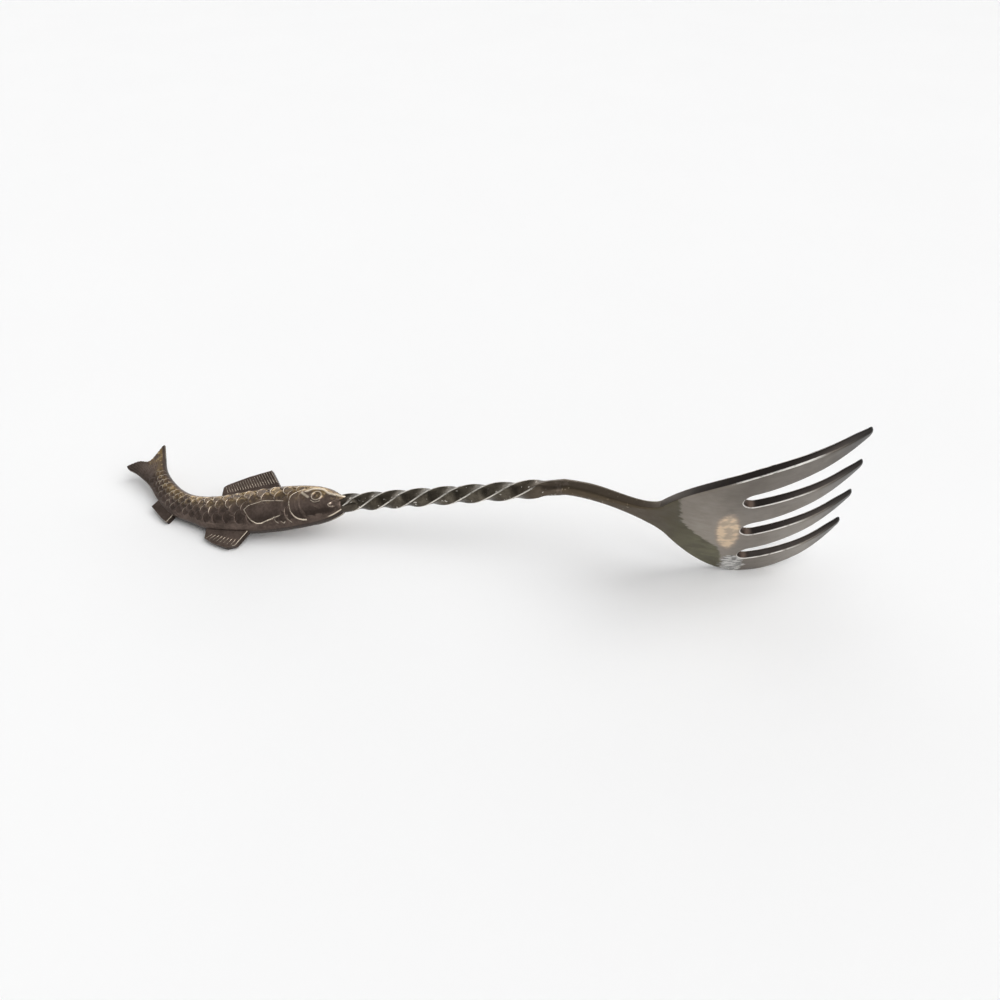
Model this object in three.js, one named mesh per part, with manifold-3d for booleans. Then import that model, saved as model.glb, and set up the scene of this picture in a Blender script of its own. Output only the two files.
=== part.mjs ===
// Sardine fork with a fish for a handle. All sizes are in millimetres.
// It is drawn in the fork's own frame and then laid down on its side at the end:
// +X runs from the fish to the tines, +Y is the fish's back and the hollow side
// of the tines, and +Z runs across the tines.
import * as THREE from "three";
import { LoftGeometry } from "three/addons/geometries/LoftGeometry.js";
import { mergeVertices } from "three/addons/utils/BufferGeometryUtils.js";
import Module from "manifold-3d";

const wasm = await Module();
wasm.setup();

// Driving sizes of the head
const HEAD_LENGTH = 50.4; // neck face to the tips of the inner tines
const TINE_LENGTH = 20.2; // tip to the root of the slots
const TINE_PITCH = 10.55; // from one tine to the next
const INNER_TINE_WIDTH = 6.0;
const OUTER_TINE_WIDTH = 6.5;
const TIP_RADIUS = 0.7;
const BLADE_THICKNESS = 1.35;
const TIP_THICKNESS = 1.15;
const OUTER_TIP_SETBACK = 0.45; // outer tines end this much short of the inner ones
const NECK_WIDTH = 2.4;
const NECK_DEPTH = 2.5;
const NECK_WALL = 0.45; // metal round the socket in the neck

// Side view of the head: drops and climbs, and how far each bend reaches
const BOWL_AT = 29; // neck face to the lowest line of the back
const BOWL_DROP = 11.1; // shank axis down to that line
const TIP_RISE = 7.6; // that line up to the tips
const NECK_RUN = 9.5;
const NECK_FALL = 1.95;
const HEEL_SWEEP = 9.5;
const TINE_SWEEP = 6.5;
const TIP_RUN = 6.8;
const TIP_CLIMB = 4.6;
const THINNING_START = 4.5; // neck face to where the neck starts to thin

// Plan of the head: neck, flare, waist, shoulder and side, and how far each bend reaches
const FLARE_START = 6.5; // neck face to where the neck starts to widen
const FLARE_SWEEP = 5;
const WAIST_AT = 17.5; // neck face to the bend between flare and shoulder
const WAIST_WIDTH = 11;
const WAIST_SLOPE = 1.83;
const WAIST_SWEEP_IN = 1.6;
const WAIST_SWEEP_OUT = 3.5;
const WIDEST_AT = 36.5; // neck face to the widest line of the head
const SHOULDER_SWEEP = 9.5;
const SIDE_SWEEP = 6;
const TIP_SWEEP = 4;
const TIP_BOW = 1.9;

// Driving sizes of the shank
const SHANK_LENGTH = 43.5; // lips of the fish to the neck face
const BAR_SIDE = 2.84; // across the flats of the twisted bar
const BAR_SQUARENESS = 5; // superellipse power: 2 is round, higher is squarer
const BAR_START_ANGLE = -17; // degrees
const TWIST_TURNS = 2.04;
const TWIST_SLACK = 0.1; // share by which the twist tightens at the fish
const FADE_LENGTH = 7; // the bar turns round over this length at the neck
const BAR_END_SHARE = 0.8; // round end of the bar as a share of the neck's corner radius
const MOUTH_TANG_SHOULDER = 0.52; // step from the bar's flats down to its tang
const MOUTH_TANG_LENGTH = 8;
const NECK_TANG_LENGTH = 3.6;

// Driving sizes of the fish
const FISH_LENGTH = 51.8; // lips to the tip of the lower tail lobe
const FISH_THICKNESS = 5.6;
const RIM_THICKNESS = 1.5; // the edge all round the fish, and its fins
const FLANK_INSET_SHARE = 0.01; // share of the depth by which the flanks stay inside the rim
const SNOUT_WALL = 0.65; // metal round the socket in the mouth

// Fits
const SOLDER_FILM = 0.3;
const CLEARANCE = 0.3; // each side of a tang or a film of solder
const WEAR_FLAT = 0.3; // depth of the flats worn where the fork lies
const OVERCUT = 1; // how far a cutter or a tang's root runs past what it meets

// Fineness of the facets
const ROUND_SIDES = 24;
const BAR_SIDES = 20;
const BAR_STEPS = 64;
const FLANK_SIDES = 22;
const FLANK_STEPS = 30;
const PLAN_STEPS = 9;
const HEEL_STEPS = 16;
const TINE_STEPS = 14;
const FISH_STEPS = 3; // for each stretch between two points of its outline
const WELD = 1e-4; // corners closer than this are one
const SETTLE_ROUNDS = 12; // tries to find the points on which it lies

// Places that follow
const SEAM = SOLDER_FILM + 2 * CLEARANCE;
const neckX = SHANK_LENGTH;
const tipX = neckX + HEAD_LENGTH;
const rootX = tipX - TINE_LENGTH;
const headHalf = 1.5 * TINE_PITCH + OUTER_TINE_WIDTH / 2;
const barEndRadius = (BAR_END_SHARE * Math.hypot(NECK_WIDTH, NECK_DEPTH)) / 2;
const neckSocketDiameter = Math.min(NECK_WIDTH, NECK_DEPTH) - 2 * NECK_WALL;
const neckTangDiameter = neckSocketDiameter - 2 * CLEARANCE;
const mouthTangDiameter = BAR_SIDE - 2 * MOUTH_TANG_SHOULDER;
const mouthSocketDiameter = mouthTangDiameter + 2 * CLEARANCE;
const snoutRadius = mouthSocketDiameter / 2 + SNOUT_WALL;

// Geometry to a solid for adding and cutting, and back
function solid(geometry) {
  const bare = new THREE.BufferGeometry().copy(geometry);
  bare.deleteAttribute("normal");
  bare.deleteAttribute("uv");
  const merged = mergeVertices(bare, WELD);
  const vertProperties = new Float32Array(merged.attributes.position.array);
  const triVerts = new Uint32Array(merged.index.array);
  return new wasm.Manifold(new wasm.Mesh({ numProp: 3, vertProperties, triVerts }));
}

function geometryOf(body) {
  const { vertProperties, triVerts } = body.getMesh();
  const geometry = new THREE.BufferGeometry();
  geometry.setAttribute("position", new THREE.BufferAttribute(vertProperties, 3));
  geometry.setIndex(new THREE.BufferAttribute(triVerts, 1));
  return geometry;
}

// A round rod that starts at a point and runs in a direction in the XY plane
function rod(x, y, angle, length, diameter) {
  const geometry = new THREE.CylinderGeometry(diameter / 2, diameter / 2, length, ROUND_SIDES);
  geometry.rotateZ(angle - Math.PI / 2);
  const reach = length / 2;
  return geometry.translate(x + reach * Math.cos(angle), y + reach * Math.sin(angle), 0);
}

// A flat plate in the XY plane, centred on the middle plane of the fork
function plate(shape, thickness) {
  const geometry = new THREE.ExtrudeGeometry(shape, {
    depth: thickness,
    bevelEnabled: false,
    curveSegments: FISH_STEPS,
  });
  return geometry.translate(0, 0, -thickness / 2);
}

// Side view of the head: the back is two curves that meet on the lowest line
const bowlX = neckX + BOWL_AT;
const tipBackY = TIP_RISE - BOWL_DROP;
const heelCurve = new THREE.CubicBezierCurve(
  new THREE.Vector2(neckX, -NECK_DEPTH / 2),
  new THREE.Vector2(neckX + NECK_RUN, -NECK_DEPTH / 2 - NECK_FALL),
  new THREE.Vector2(bowlX - HEEL_SWEEP, -BOWL_DROP),
  new THREE.Vector2(bowlX, -BOWL_DROP),
);
const tineCurve = new THREE.CubicBezierCurve(
  new THREE.Vector2(bowlX, -BOWL_DROP),
  new THREE.Vector2(bowlX + TINE_SWEEP, -BOWL_DROP),
  new THREE.Vector2(tipX - TIP_RUN, tipBackY - TIP_CLIMB),
  new THREE.Vector2(tipX, tipBackY),
);

function thicknessAt(x) {
  const thinning = THREE.MathUtils.smoothstep(x, neckX + THINNING_START, neckX + WAIST_AT);
  const neckToBlade = THREE.MathUtils.lerp(NECK_DEPTH, BLADE_THICKNESS, thinning);
  const toTip = THREE.MathUtils.smoothstep(x, rootX, tipX);
  return neckToBlade - toTip * (BLADE_THICKNESS - TIP_THICKNESS);
}

const back = [...heelCurve.getPoints(HEEL_STEPS), ...tineCurve.getPoints(TINE_STEPS).slice(1)];
const front = back.map((p) => new THREE.Vector2(p.x, p.y + thicknessAt(p.x)));
const sideView = new THREE.Shape([...back, ...front.reverse()]);
const slab = plate(sideView, 2 * (headHalf + OVERCUT));

// Plan of the head: the half with Z above zero, from the neck to the middle slot
const waistX = neckX + WAIST_AT;
const widestX = neckX + WIDEST_AT;
const innerCentre = TINE_PITCH / 2;
const outerCentre = 1.5 * TINE_PITCH;
const middleSlotRadius = innerCentre - INNER_TINE_WIDTH / 2;
const sideSlotInner = innerCentre + INNER_TINE_WIDTH / 2;
const sideSlotOuter = outerCentre - OUTER_TINE_WIDTH / 2;
const sideSlotRadius = (sideSlotOuter - sideSlotInner) / 2;
const innerTipX = tipX - TIP_RADIUS;
const outerTipX = innerTipX - OUTER_TIP_SETBACK;
const neckHalf = NECK_WIDTH / 2;
const waistHalf = WAIST_WIDTH / 2;
const flareX = neckX + FLARE_START;

const halfPlan = new THREE.Path();
halfPlan.moveTo(neckX, neckHalf);
halfPlan.lineTo(flareX, neckHalf);
halfPlan.bezierCurveTo(
  flareX + FLARE_SWEEP,
  neckHalf,
  waistX - WAIST_SWEEP_IN,
  waistHalf - WAIST_SWEEP_IN * WAIST_SLOPE,
  waistX,
  waistHalf,
);
halfPlan.bezierCurveTo(
  waistX + WAIST_SWEEP_OUT,
  waistHalf + WAIST_SWEEP_OUT * WAIST_SLOPE,
  widestX - SHOULDER_SWEEP,
  headHalf,
  widestX,
  headHalf,
);
halfPlan.bezierCurveTo(
  widestX + SIDE_SWEEP,
  headHalf,
  outerTipX - TIP_SWEEP,
  outerCentre + TIP_RADIUS + TIP_BOW,
  outerTipX,
  outerCentre + TIP_RADIUS,
);
halfPlan.absarc(outerTipX, outerCentre, TIP_RADIUS, Math.PI / 2, -Math.PI / 2, true);
halfPlan.lineTo(rootX + sideSlotRadius, sideSlotOuter);
halfPlan.absarc(
  rootX + sideSlotRadius,
  (sideSlotOuter + sideSlotInner) / 2,
  sideSlotRadius,
  Math.PI / 2,
  1.5 * Math.PI,
);
halfPlan.quadraticCurveTo(
  (rootX + tipX) / 2,
  sideSlotInner,
  innerTipX,
  innerCentre + TIP_RADIUS,
);
halfPlan.absarc(innerTipX, innerCentre, TIP_RADIUS, Math.PI / 2, -Math.PI / 2, true);
halfPlan.quadraticCurveTo(
  (rootX + tipX) / 2,
  middleSlotRadius,
  rootX + middleSlotRadius,
  middleSlotRadius,
);
halfPlan.absarc(rootX + middleSlotRadius, 0, middleSlotRadius, Math.PI / 2, Math.PI);

const halfPoints = halfPlan.getPoints(PLAN_STEPS);
const mirrored = halfPoints.map((p) => new THREE.Vector2(p.x, -p.y)).reverse();
const plan = new THREE.Shape([...halfPoints, ...mirrored.slice(1)]);
const prismTop = BOWL_DROP + NECK_DEPTH;
const prism = new THREE.ExtrudeGeometry(plan, { depth: 2 * prismTop, bevelEnabled: false });
prism.rotateX(Math.PI / 2);
prism.translate(0, prismTop, 0);

// The neck's socket follows the slope on which the neck leaves the shank
const neckSlope = -Math.atan2(NECK_FALL, NECK_RUN);
const neckSocket = rod(
  neckX - OVERCUT,
  -OVERCUT * Math.tan(neckSlope),
  neckSlope,
  OVERCUT + NECK_TANG_LENGTH + CLEARANCE,
  neckSocketDiameter,
);
const headBody = solid(slab).intersect(solid(prism)).subtract(solid(neckSocket));

// The twisted bar: square sections that turn on the way, and go round at the neck
const barStart = SEAM;
const barEnd = SHANK_LENGTH - SEAM;

function barSection(x) {
  const along = (x - barStart) / (barEnd - barStart);
  const turned = TWIST_TURNS * (along * (1 + TWIST_SLACK) - TWIST_SLACK * along ** 2);
  const angle = THREE.MathUtils.degToRad(BAR_START_ANGLE) - turned * 2 * Math.PI;
  const rounding = THREE.MathUtils.smoothstep(x, barEnd - FADE_LENGTH, barEnd);
  const ring = [];
  for (let k = 0; k < BAR_SIDES; k++) {
    const a = (k / BAR_SIDES) * 2 * Math.PI;
    const cosPower = Math.abs(Math.cos(a)) ** BAR_SQUARENESS;
    const sinPower = Math.abs(Math.sin(a)) ** BAR_SQUARENESS;
    const square = BAR_SIDE / 2 / (cosPower + sinPower) ** (1 / BAR_SQUARENESS);
    const radius = THREE.MathUtils.lerp(square, barEndRadius, rounding);
    ring.push(new THREE.Vector3(x, radius * Math.cos(a + angle), radius * Math.sin(a + angle)));
  }
  return ring;
}

const barSections = [];
for (let i = 0; i <= BAR_STEPS; i++) {
  barSections.push(barSection(THREE.MathUtils.lerp(barStart, barEnd, i / BAR_STEPS)));
}
const bar = new LoftGeometry(barSections, { capStart: true, capEnd: true });
const tangRoot = OVERCUT + SEAM;
const mouthTang = rod(tangRoot, 0, Math.PI, tangRoot + MOUTH_TANG_LENGTH, mouthTangDiameter);
const neckTang = rod(
  neckX - tangRoot,
  -tangRoot * Math.tan(neckSlope),
  neckSlope,
  tangRoot + NECK_TANG_LENGTH,
  neckTangDiameter,
);
const shankBody = solid(bar).add(solid(mouthTang)).add(solid(neckTang));

// Films of solder: flat rings round the tangs
function solderRing(x, outerRadius, holeRadius) {
  const half = SOLDER_FILM / 2;
  const profile = [
    new THREE.Vector2(holeRadius, -half),
    new THREE.Vector2(outerRadius, -half),
    new THREE.Vector2(outerRadius, half),
    new THREE.Vector2(holeRadius, half),
    new THREE.Vector2(holeRadius, -half),
  ];
  return new THREE.LatheGeometry(profile, ROUND_SIDES).rotateZ(-Math.PI / 2).translate(x, 0, 0);
}

const mouthRing = solderRing(SEAM / 2, snoutRadius, mouthSocketDiameter / 2);
const neckHole = neckSocketDiameter / 2 + SEAM * Math.abs(Math.tan(neckSlope));
const neckRing = solderRing(neckX - SEAM / 2, barEndRadius, neckHole);

// The fish, measured back from the lips and up from the shank axis, in hundredths of its length.
// Each station gives a point of the back, one of the belly and the share of the thickness.
const fishScale = FISH_LENGTH / 100;

function fishPoint(x, y) {
  return new THREE.Vector2(-x * fishScale, y * fishScale);
}

const stations = [
  { back: fishPoint(1.4, 3.3), belly: fishPoint(1.2, -2.1), share: 0.58 },
  { back: fishPoint(6, 6), belly: fishPoint(6.4, -5.6), share: 0.76 },
  { back: fishPoint(14.3, 8.1), belly: fishPoint(15.4, -8.1), share: 0.9 },
  { back: fishPoint(26.6, 8.7), belly: fishPoint(27, -9.8), share: 1 },
  { back: fishPoint(38.6, 7.9), belly: fishPoint(38.6, -9.8), share: 0.96 },
  { back: fishPoint(52.5, 6.6), belly: fishPoint(54.1, -7.9), share: 0.82 },
  { back: fishPoint(63.3, 7.7), belly: fishPoint(63.7, -4.1), share: 0.64 },
  { back: fishPoint(70.7, 11), belly: fishPoint(73.4, 0.2), share: 0.5 },
  { back: fishPoint(77.2, 16.6), belly: fishPoint(81.1, 7.3), share: 0.4 },
  { back: fishPoint(81.1, 22), belly: fishPoint(86.9, 14.3), share: 0.33 },
];

// Flat outline of body and tail
const upperLobe = [fishPoint(83.2, 28.4), fishPoint(84.7, 33.6)];
const fork = [fishPoint(87.3, 28.4), fishPoint(89.8, 25.7), fishPoint(94.4, 26.1)];
const lowerLobe = [fishPoint(100, 24.3), fishPoint(98.5, 22.6), fishPoint(94.4, 20.3)];
const snoutTip = fishPoint(0, 0.8);
const outline = new THREE.Shape();
outline.moveTo(snoutTip.x, snoutTip.y);
outline.splineThru([...stations.map((s) => s.back), ...upperLobe]);
outline.splineThru(fork);
outline.lineTo(lowerLobe[0].x, lowerLobe[0].y);
outline.splineThru([...lowerLobe.slice(1), ...stations.map((s) => s.belly).reverse()]);
outline.lineTo(snoutTip.x, snoutTip.y);
const rim = plate(outline, RIM_THICKNESS);

// Rounded flanks: one loft from the root of the tail to the snout
const towardsSnout = [...stations].reverse();
const backLine = new THREE.CatmullRomCurve3(
  towardsSnout.map((s) => new THREE.Vector3(s.back.x, s.back.y, s.share)),
);
const bellyLine = new THREE.CatmullRomCurve3(
  towardsSnout.map((s) => new THREE.Vector3(s.belly.x, s.belly.y, s.share)),
);

function flankSection(t) {
  const top = backLine.getPoint(t);
  const low = bellyLine.getPoint(t);
  const half = (top.z * FISH_THICKNESS) / 2;
  const ring = [];
  for (let k = 0; k < FLANK_SIDES; k++) {
    const a = (k / FLANK_SIDES) * 2 * Math.PI;
    const upShare = 0.5 + (0.5 - FLANK_INSET_SHARE) * Math.cos(a);
    const x = THREE.MathUtils.lerp(low.x, top.x, upShare);
    const y = THREE.MathUtils.lerp(low.y, top.y, upShare);
    ring.push(new THREE.Vector3(x, y, half * Math.sin(a)));
  }
  return ring;
}

const flankSections = [];
for (let i = 0; i <= FLANK_STEPS; i++) {
  flankSections.push(flankSection(i / FLANK_STEPS));
}
const flanks = new LoftGeometry(flankSections, { capStart: true, capEnd: true });

// Fins: plates as thick as the rim, each let into the body
function fin(points) {
  return plate(new THREE.Shape(points.map(([x, y]) => fishPoint(x, y))), RIM_THICKNESS);
}

const dorsalFin = fin([[26.3, 6.6], [32.4, 16.4], [41.7, 14.3], [50.6, 11.4], [52.1, 10.4], [52.3, 5]]);
const analFin = fin([[78.4, 8.9], [82.8, 4.2], [77, -1.4], [74.3, -3.5], [71, 1]]);
const ventralFin = fin([[56, -5.6], [55.8, -11.6], [51.7, -14.1], [45.8, -16.2], [41.9, -15.4], [36.7, -8.1]]);

// The shank's tang goes into a round boss inside the snout
const socketDepth = MOUTH_TANG_LENGTH + CLEARANCE;
const boss = rod(0, 0, Math.PI, socketDepth + SNOUT_WALL, 2 * snoutRadius);
const mouthSocket = rod(OVERCUT, 0, Math.PI, OVERCUT + socketDepth, mouthSocketDiameter);
const fishBody = [flanks, dorsalFin, analFin, ventralFin, boss]
  .reduce((body, piece) => body.add(solid(piece)), solid(rim))
  .subtract(solid(mouthSocket));

// The fork lies on its side, on the rim of the head, the ventral fin and the anal fin.
// Its table is the plane under the lowest point of each.
function lowest(geometry, up) {
  const position = geometry.attributes.position;
  const best = new THREE.Vector3().fromBufferAttribute(position, 0);
  for (let i = 1; i < position.count; i++) {
    const point = new THREE.Vector3().fromBufferAttribute(position, i);
    if (point.dot(up) < best.dot(up)) {
      best.copy(point);
    }
  }
  return best;
}

const headGeometry = geometryOf(headBody);
const up = new THREE.Vector3(0, 0, 1);
let rimContact;
for (let round = 0; round < SETTLE_ROUNDS; round++) {
  rimContact = lowest(headGeometry, up);
  const ventralContact = lowest(ventralFin, up);
  const alongFins = lowest(analFin, up).sub(ventralContact);
  up.crossVectors(rimContact.clone().sub(ventralContact), alongFins).normalize();
}
const along = new THREE.Vector3(1, 0, 0).addScaledVector(up, -up.x).normalize();
const across = new THREE.Vector3().crossVectors(up, along);
const laid = new THREE.Matrix4().makeBasis(along, across, up).transpose();

// Flats worn by the table
const tableTop = rimContact.dot(up) + WEAR_FLAT;
const tableSize = 2 * (FISH_LENGTH + tipX);
const table = new THREE.BoxGeometry(tableSize, tableSize, tableSize);
table.translate(0, 0, tableTop - tableSize / 2);
table.applyMatrix4(laid.clone().invert());
const wornHead = geometryOf(headBody.subtract(solid(table)));
const wornFish = geometryOf(fishBody.subtract(solid(table)));

// Assembly
const headSilver = new THREE.MeshStandardMaterial({
  color: 0x968c7e,
  roughness: 0.38,
  metalness: 1,
});
const shankSilver = new THREE.MeshStandardMaterial({
  color: 0x5a514b,
  roughness: 0.32,
  metalness: 1,
});
const fishBronze = new THREE.MeshStandardMaterial({
  color: 0x5c4a3c,
  roughness: 0.45,
  metalness: 1,
});
const solderGrey = new THREE.MeshStandardMaterial({
  color: 0x8f8a84,
  roughness: 0.5,
  metalness: 1,
});

const asDrawn = new THREE.Group();
asDrawn.name = "fork_as_drawn";

function addPiece(name, geometry, material) {
  const mesh = new THREE.Mesh(geometry, material);
  mesh.name = name;
  asDrawn.add(mesh);
}

addPiece("fork_head", wornHead, headSilver);
addPiece("twisted_shank", geometryOf(shankBody), shankSilver);
addPiece("fish_handle", wornFish, fishBronze);
addPiece("mouth_solder", mouthRing, solderGrey);
addPiece("neck_solder", neckRing, solderGrey);

// Laid on its side, with the origin under the middle of the whole fork
asDrawn.quaternion.setFromRotationMatrix(laid);
const sardineFork = new THREE.Group();
sardineFork.name = "sardine_fork";
sardineFork.add(asDrawn);
const bounds = new THREE.Box3().setFromObject(sardineFork, true);
const middle = bounds.getCenter(new THREE.Vector3());
asDrawn.position.set(-middle.x, -middle.y, -bounds.min.z);
sardineFork.updateMatrixWorld(true);

export default sardineFork;
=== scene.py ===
# %% [markdown]
# # A sardine fork with a fish for a handle
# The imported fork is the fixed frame: a stamped head, a twisted square shank and a cast fish,
# soldered end to end and lying on its side. This lesson makes a finer mesh and a worn silver
# finish for each of them, in the same place and at the same size.

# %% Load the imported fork
import math
import bmesh
import bpy
import numpy as np
from mathutils import Matrix, Vector, kdtree
from mathutils.geometry import delaunay_2d_cdt


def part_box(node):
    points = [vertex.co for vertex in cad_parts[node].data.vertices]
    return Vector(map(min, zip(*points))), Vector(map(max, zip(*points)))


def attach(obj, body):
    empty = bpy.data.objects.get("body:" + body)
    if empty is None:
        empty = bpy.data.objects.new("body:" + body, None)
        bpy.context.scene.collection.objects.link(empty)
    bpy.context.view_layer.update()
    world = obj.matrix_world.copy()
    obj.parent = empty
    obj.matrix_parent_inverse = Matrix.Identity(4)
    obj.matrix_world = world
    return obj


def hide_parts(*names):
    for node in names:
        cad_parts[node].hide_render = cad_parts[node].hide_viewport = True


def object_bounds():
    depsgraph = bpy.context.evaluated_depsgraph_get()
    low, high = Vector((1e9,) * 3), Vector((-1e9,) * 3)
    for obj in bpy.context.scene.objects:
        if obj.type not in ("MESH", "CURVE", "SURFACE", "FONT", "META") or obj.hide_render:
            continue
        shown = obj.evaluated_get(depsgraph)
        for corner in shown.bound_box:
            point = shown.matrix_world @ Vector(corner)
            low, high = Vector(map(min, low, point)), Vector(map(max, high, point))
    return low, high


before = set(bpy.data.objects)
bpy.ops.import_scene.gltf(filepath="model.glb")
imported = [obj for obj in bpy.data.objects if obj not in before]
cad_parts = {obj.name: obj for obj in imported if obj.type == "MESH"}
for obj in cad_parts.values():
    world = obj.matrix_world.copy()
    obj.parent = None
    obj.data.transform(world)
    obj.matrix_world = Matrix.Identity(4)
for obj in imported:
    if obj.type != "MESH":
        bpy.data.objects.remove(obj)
cad_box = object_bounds()
print("fork", [round(1000 * side, 1) for side in cad_box[1] - cad_box[0]], "mm")

# %% [markdown]
# The fork is easier to draw upright than lying down, so it has a frame of its own, in
# millimetres: X from the fish's lips to the tines, Y to the fish's back and the hollow of the
# head, Z across the tines. The two rings of solder give the shank's axis, and the head, which
# droops from it, gives the way down.

# %% The fork's own frame
MM = 0.001
SEAM = 0.9  # the gap that each film of solder fills


def box_centre(node):
    low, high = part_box(node)
    return (low + high) / 2


def surface_centre(node):
    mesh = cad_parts[node].data
    areas = np.zeros(len(mesh.polygons))
    centres = np.zeros(len(mesh.polygons) * 3)
    mesh.polygons.foreach_get("area", areas)
    mesh.polygons.foreach_get("center", centres)
    return Vector(np.average(centres.reshape(-1, 3), axis=0, weights=areas))


mouth = box_centre("mouth_solder")
neck = box_centre("neck_solder")
along = (neck - mouth).normalized()
lips = mouth - along * (SEAM / 2) * MM
droop = surface_centre("fork_head") - lips
upright = -(droop - along * droop.dot(along)).normalized()
across = along.cross(upright)
fork_turn = Matrix((along, upright, across)).transposed()
fork_to_row = Matrix.Translation(lips) @ fork_turn.to_4x4() @ Matrix.Scale(MM, 4)
shank_length = (neck - mouth).length / MM + SEAM
print("shank", round(shank_length, 2), "mm, lips at", [round(v / MM, 2) for v in lips])


# %% [markdown]
# Every piece becomes a mesh object at the origin, with its place in its mesh. Moving objects
# about would be quicker to write, but a smooth surface that keeps its own millimetres as an
# attribute lets the finishes be placed along the fork.

# %% From points to a piece
def fork_attribute(mesh, name, values):
    """Keep a number, or a vector, on each point of a mesh."""
    values = np.asarray(values, np.float32)
    kind, field = ("FLOAT_VECTOR", "vector") if values.ndim == 2 else ("FLOAT", "value")
    layer = mesh.attributes.new(name, kind, "POINT")
    layer.data.foreach_set(field, values.ravel())


def new_mesh(name, points, faces=(), **attributes):
    mesh = bpy.data.meshes.new(name)
    mesh.from_pydata([tuple(p) for p in points], [], faces)
    for key, values in attributes.items():
        fork_attribute(mesh, key, values)
    return mesh


def put_in_scene(name, data):
    thing = bpy.data.objects.new(name, data)
    bpy.context.scene.collection.objects.link(thing)
    return thing


def shade_smooth(mesh):
    mesh.polygons.foreach_set("use_smooth", [True] * len(mesh.polygons))


def settle(mesh):
    """Keep the fork's millimetres on the points, lay the mesh down and turn its faces out.
    What would dip under the floor is worn flat there."""
    points = np.zeros(len(mesh.vertices) * 3, np.float32)
    mesh.vertices.foreach_get("co", points)
    fork_attribute(mesh, "fork_mm", points.reshape(-1, 3))
    mesh.transform(fork_to_row)
    shape = bmesh.new()
    shape.from_mesh(mesh)
    for vertex in shape.verts:
        vertex.co.z = max(vertex.co.z, 0)
    bmesh.ops.recalc_face_normals(shape, faces=shape.faces)
    shape.to_mesh(mesh)
    shape.free()
    shade_smooth(mesh)
    mesh.update()


def piece_from(name, mesh):
    settle(mesh)
    print(name, len(mesh.polygons), "faces")
    return put_in_scene(name, mesh)


def new_piece(name, points, faces, **attributes):
    return piece_from(name, new_mesh(name, points, faces, **attributes))


# %% [markdown]
# Two kinds of curve draw everything: Bezier curves for the long sweeps of the head, and a
# curve through given points for the fish and the lines cast on it.

# %% Curves
def bezier(*handles, steps=24):
    t = np.linspace(0, 1, steps + 1)[:, None]
    order = len(handles) - 1
    return sum(
        math.comb(order, k) * t**k * (1 - t) ** (order - k) * np.array(p, float)
        for k, p in enumerate(handles)
    )


def arc(centre, radius, start, end, steps=16):
    angles = np.radians(np.linspace(start, end, steps + 1))
    return np.array(centre) + radius * np.stack([np.cos(angles), np.sin(angles)], 1)


def through(points, steps=12):
    """A smooth curve through the points, with as many steps between each two."""
    p = np.array(points, float)
    ends = np.vstack([2 * p[0] - p[1], p, 2 * p[-1] - p[-2]])
    t = np.linspace(0, 1, steps, endpoint=False)[:, None]
    spans = []
    for a, b, c, d in zip(ends, ends[1:], ends[2:], ends[3:]):
        bend = a - 2.5 * b + 2 * c - d / 2
        twist = 1.5 * (b - c) + (d - a) / 2
        spans.append(b + t / 2 * (c - a) + t**2 * bend + t**3 * twist)
    return np.vstack([*spans, p[-1:]])


def joined(*curves):
    """One line of several curves, each of which starts where the last one ends."""
    return np.vstack([curves[0], *(curve[1:] for curve in curves[1:])])


def smoothstep(x, low, high):
    t = np.clip((np.asarray(x, float) - low) / (high - low), 0, 1)
    return t * t * (3 - 2 * t)


# %% [markdown]
# The head and the fins are plates with blunt edges. A plate could be a solidified and bevelled
# outline, but then the bevel would eat into the narrow tips. Here rings of points are stepped
# in from the outline round each edge, and the flat between them is filled with even triangles.

# %% A plate with rounded edges
EDGE_STEPS = 5
ROW_STEP = 0.866  # between the rows of an even grid of triangles, as a share of its spacing
INSIDE_ONLY = 1  # of the ring that is filled
TOO_CLOSE = 1e-7


def inside(points, outline):
    x, y = points[:, 0], points[:, 1]
    hit = np.zeros(len(points), bool)
    for (x0, y0), (x1, y1) in zip(outline, np.roll(outline, -1, 0)):
        crosses = (y0 > y) != (y1 > y)
        hit ^= crosses & (x < (x1 - x0) * (y - y0) / (y1 - y0 + 1e-12) + x0)
    return hit


def fill(ring, spacing):
    """Triangles inside a ring of points, with an even grid of new points between them."""
    low, high = ring.min(0), ring.max(0)
    rows = np.arange(low[1], high[1], spacing * ROW_STEP)
    columns = np.arange(low[0], high[0], spacing)
    grid = np.array([(x + spacing / 2 * (j % 2), y) for j, y in enumerate(rows) for x in columns])
    grid = grid[inside(grid, ring)]
    tree = kdtree.KDTree(len(ring))
    for i, (x, y) in enumerate(ring):
        tree.insert((x, y, 0), i)
    tree.balance()
    clear = [tree.find((x, y, 0))[2] > spacing / 2 for x, y in grid]
    points = np.vstack([ring, grid[clear]])
    count = len(ring)
    edges = [(i, (i + 1) % count) for i in range(count)]
    made = delaunay_2d_cdt([Vector(p) for p in points], edges, [], INSIDE_ONLY, TOO_CLOSE)
    first = [originals[0] for originals in made[3]]
    return points, [[first[i] for i in face] for face in made[2]]


def ring_strip(a, b, count):
    """Faces between two rings of points that start at the numbers a and b."""
    return [[a + i, a + (i + 1) % count, b + (i + 1) % count, b + i] for i in range(count)]


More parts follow.
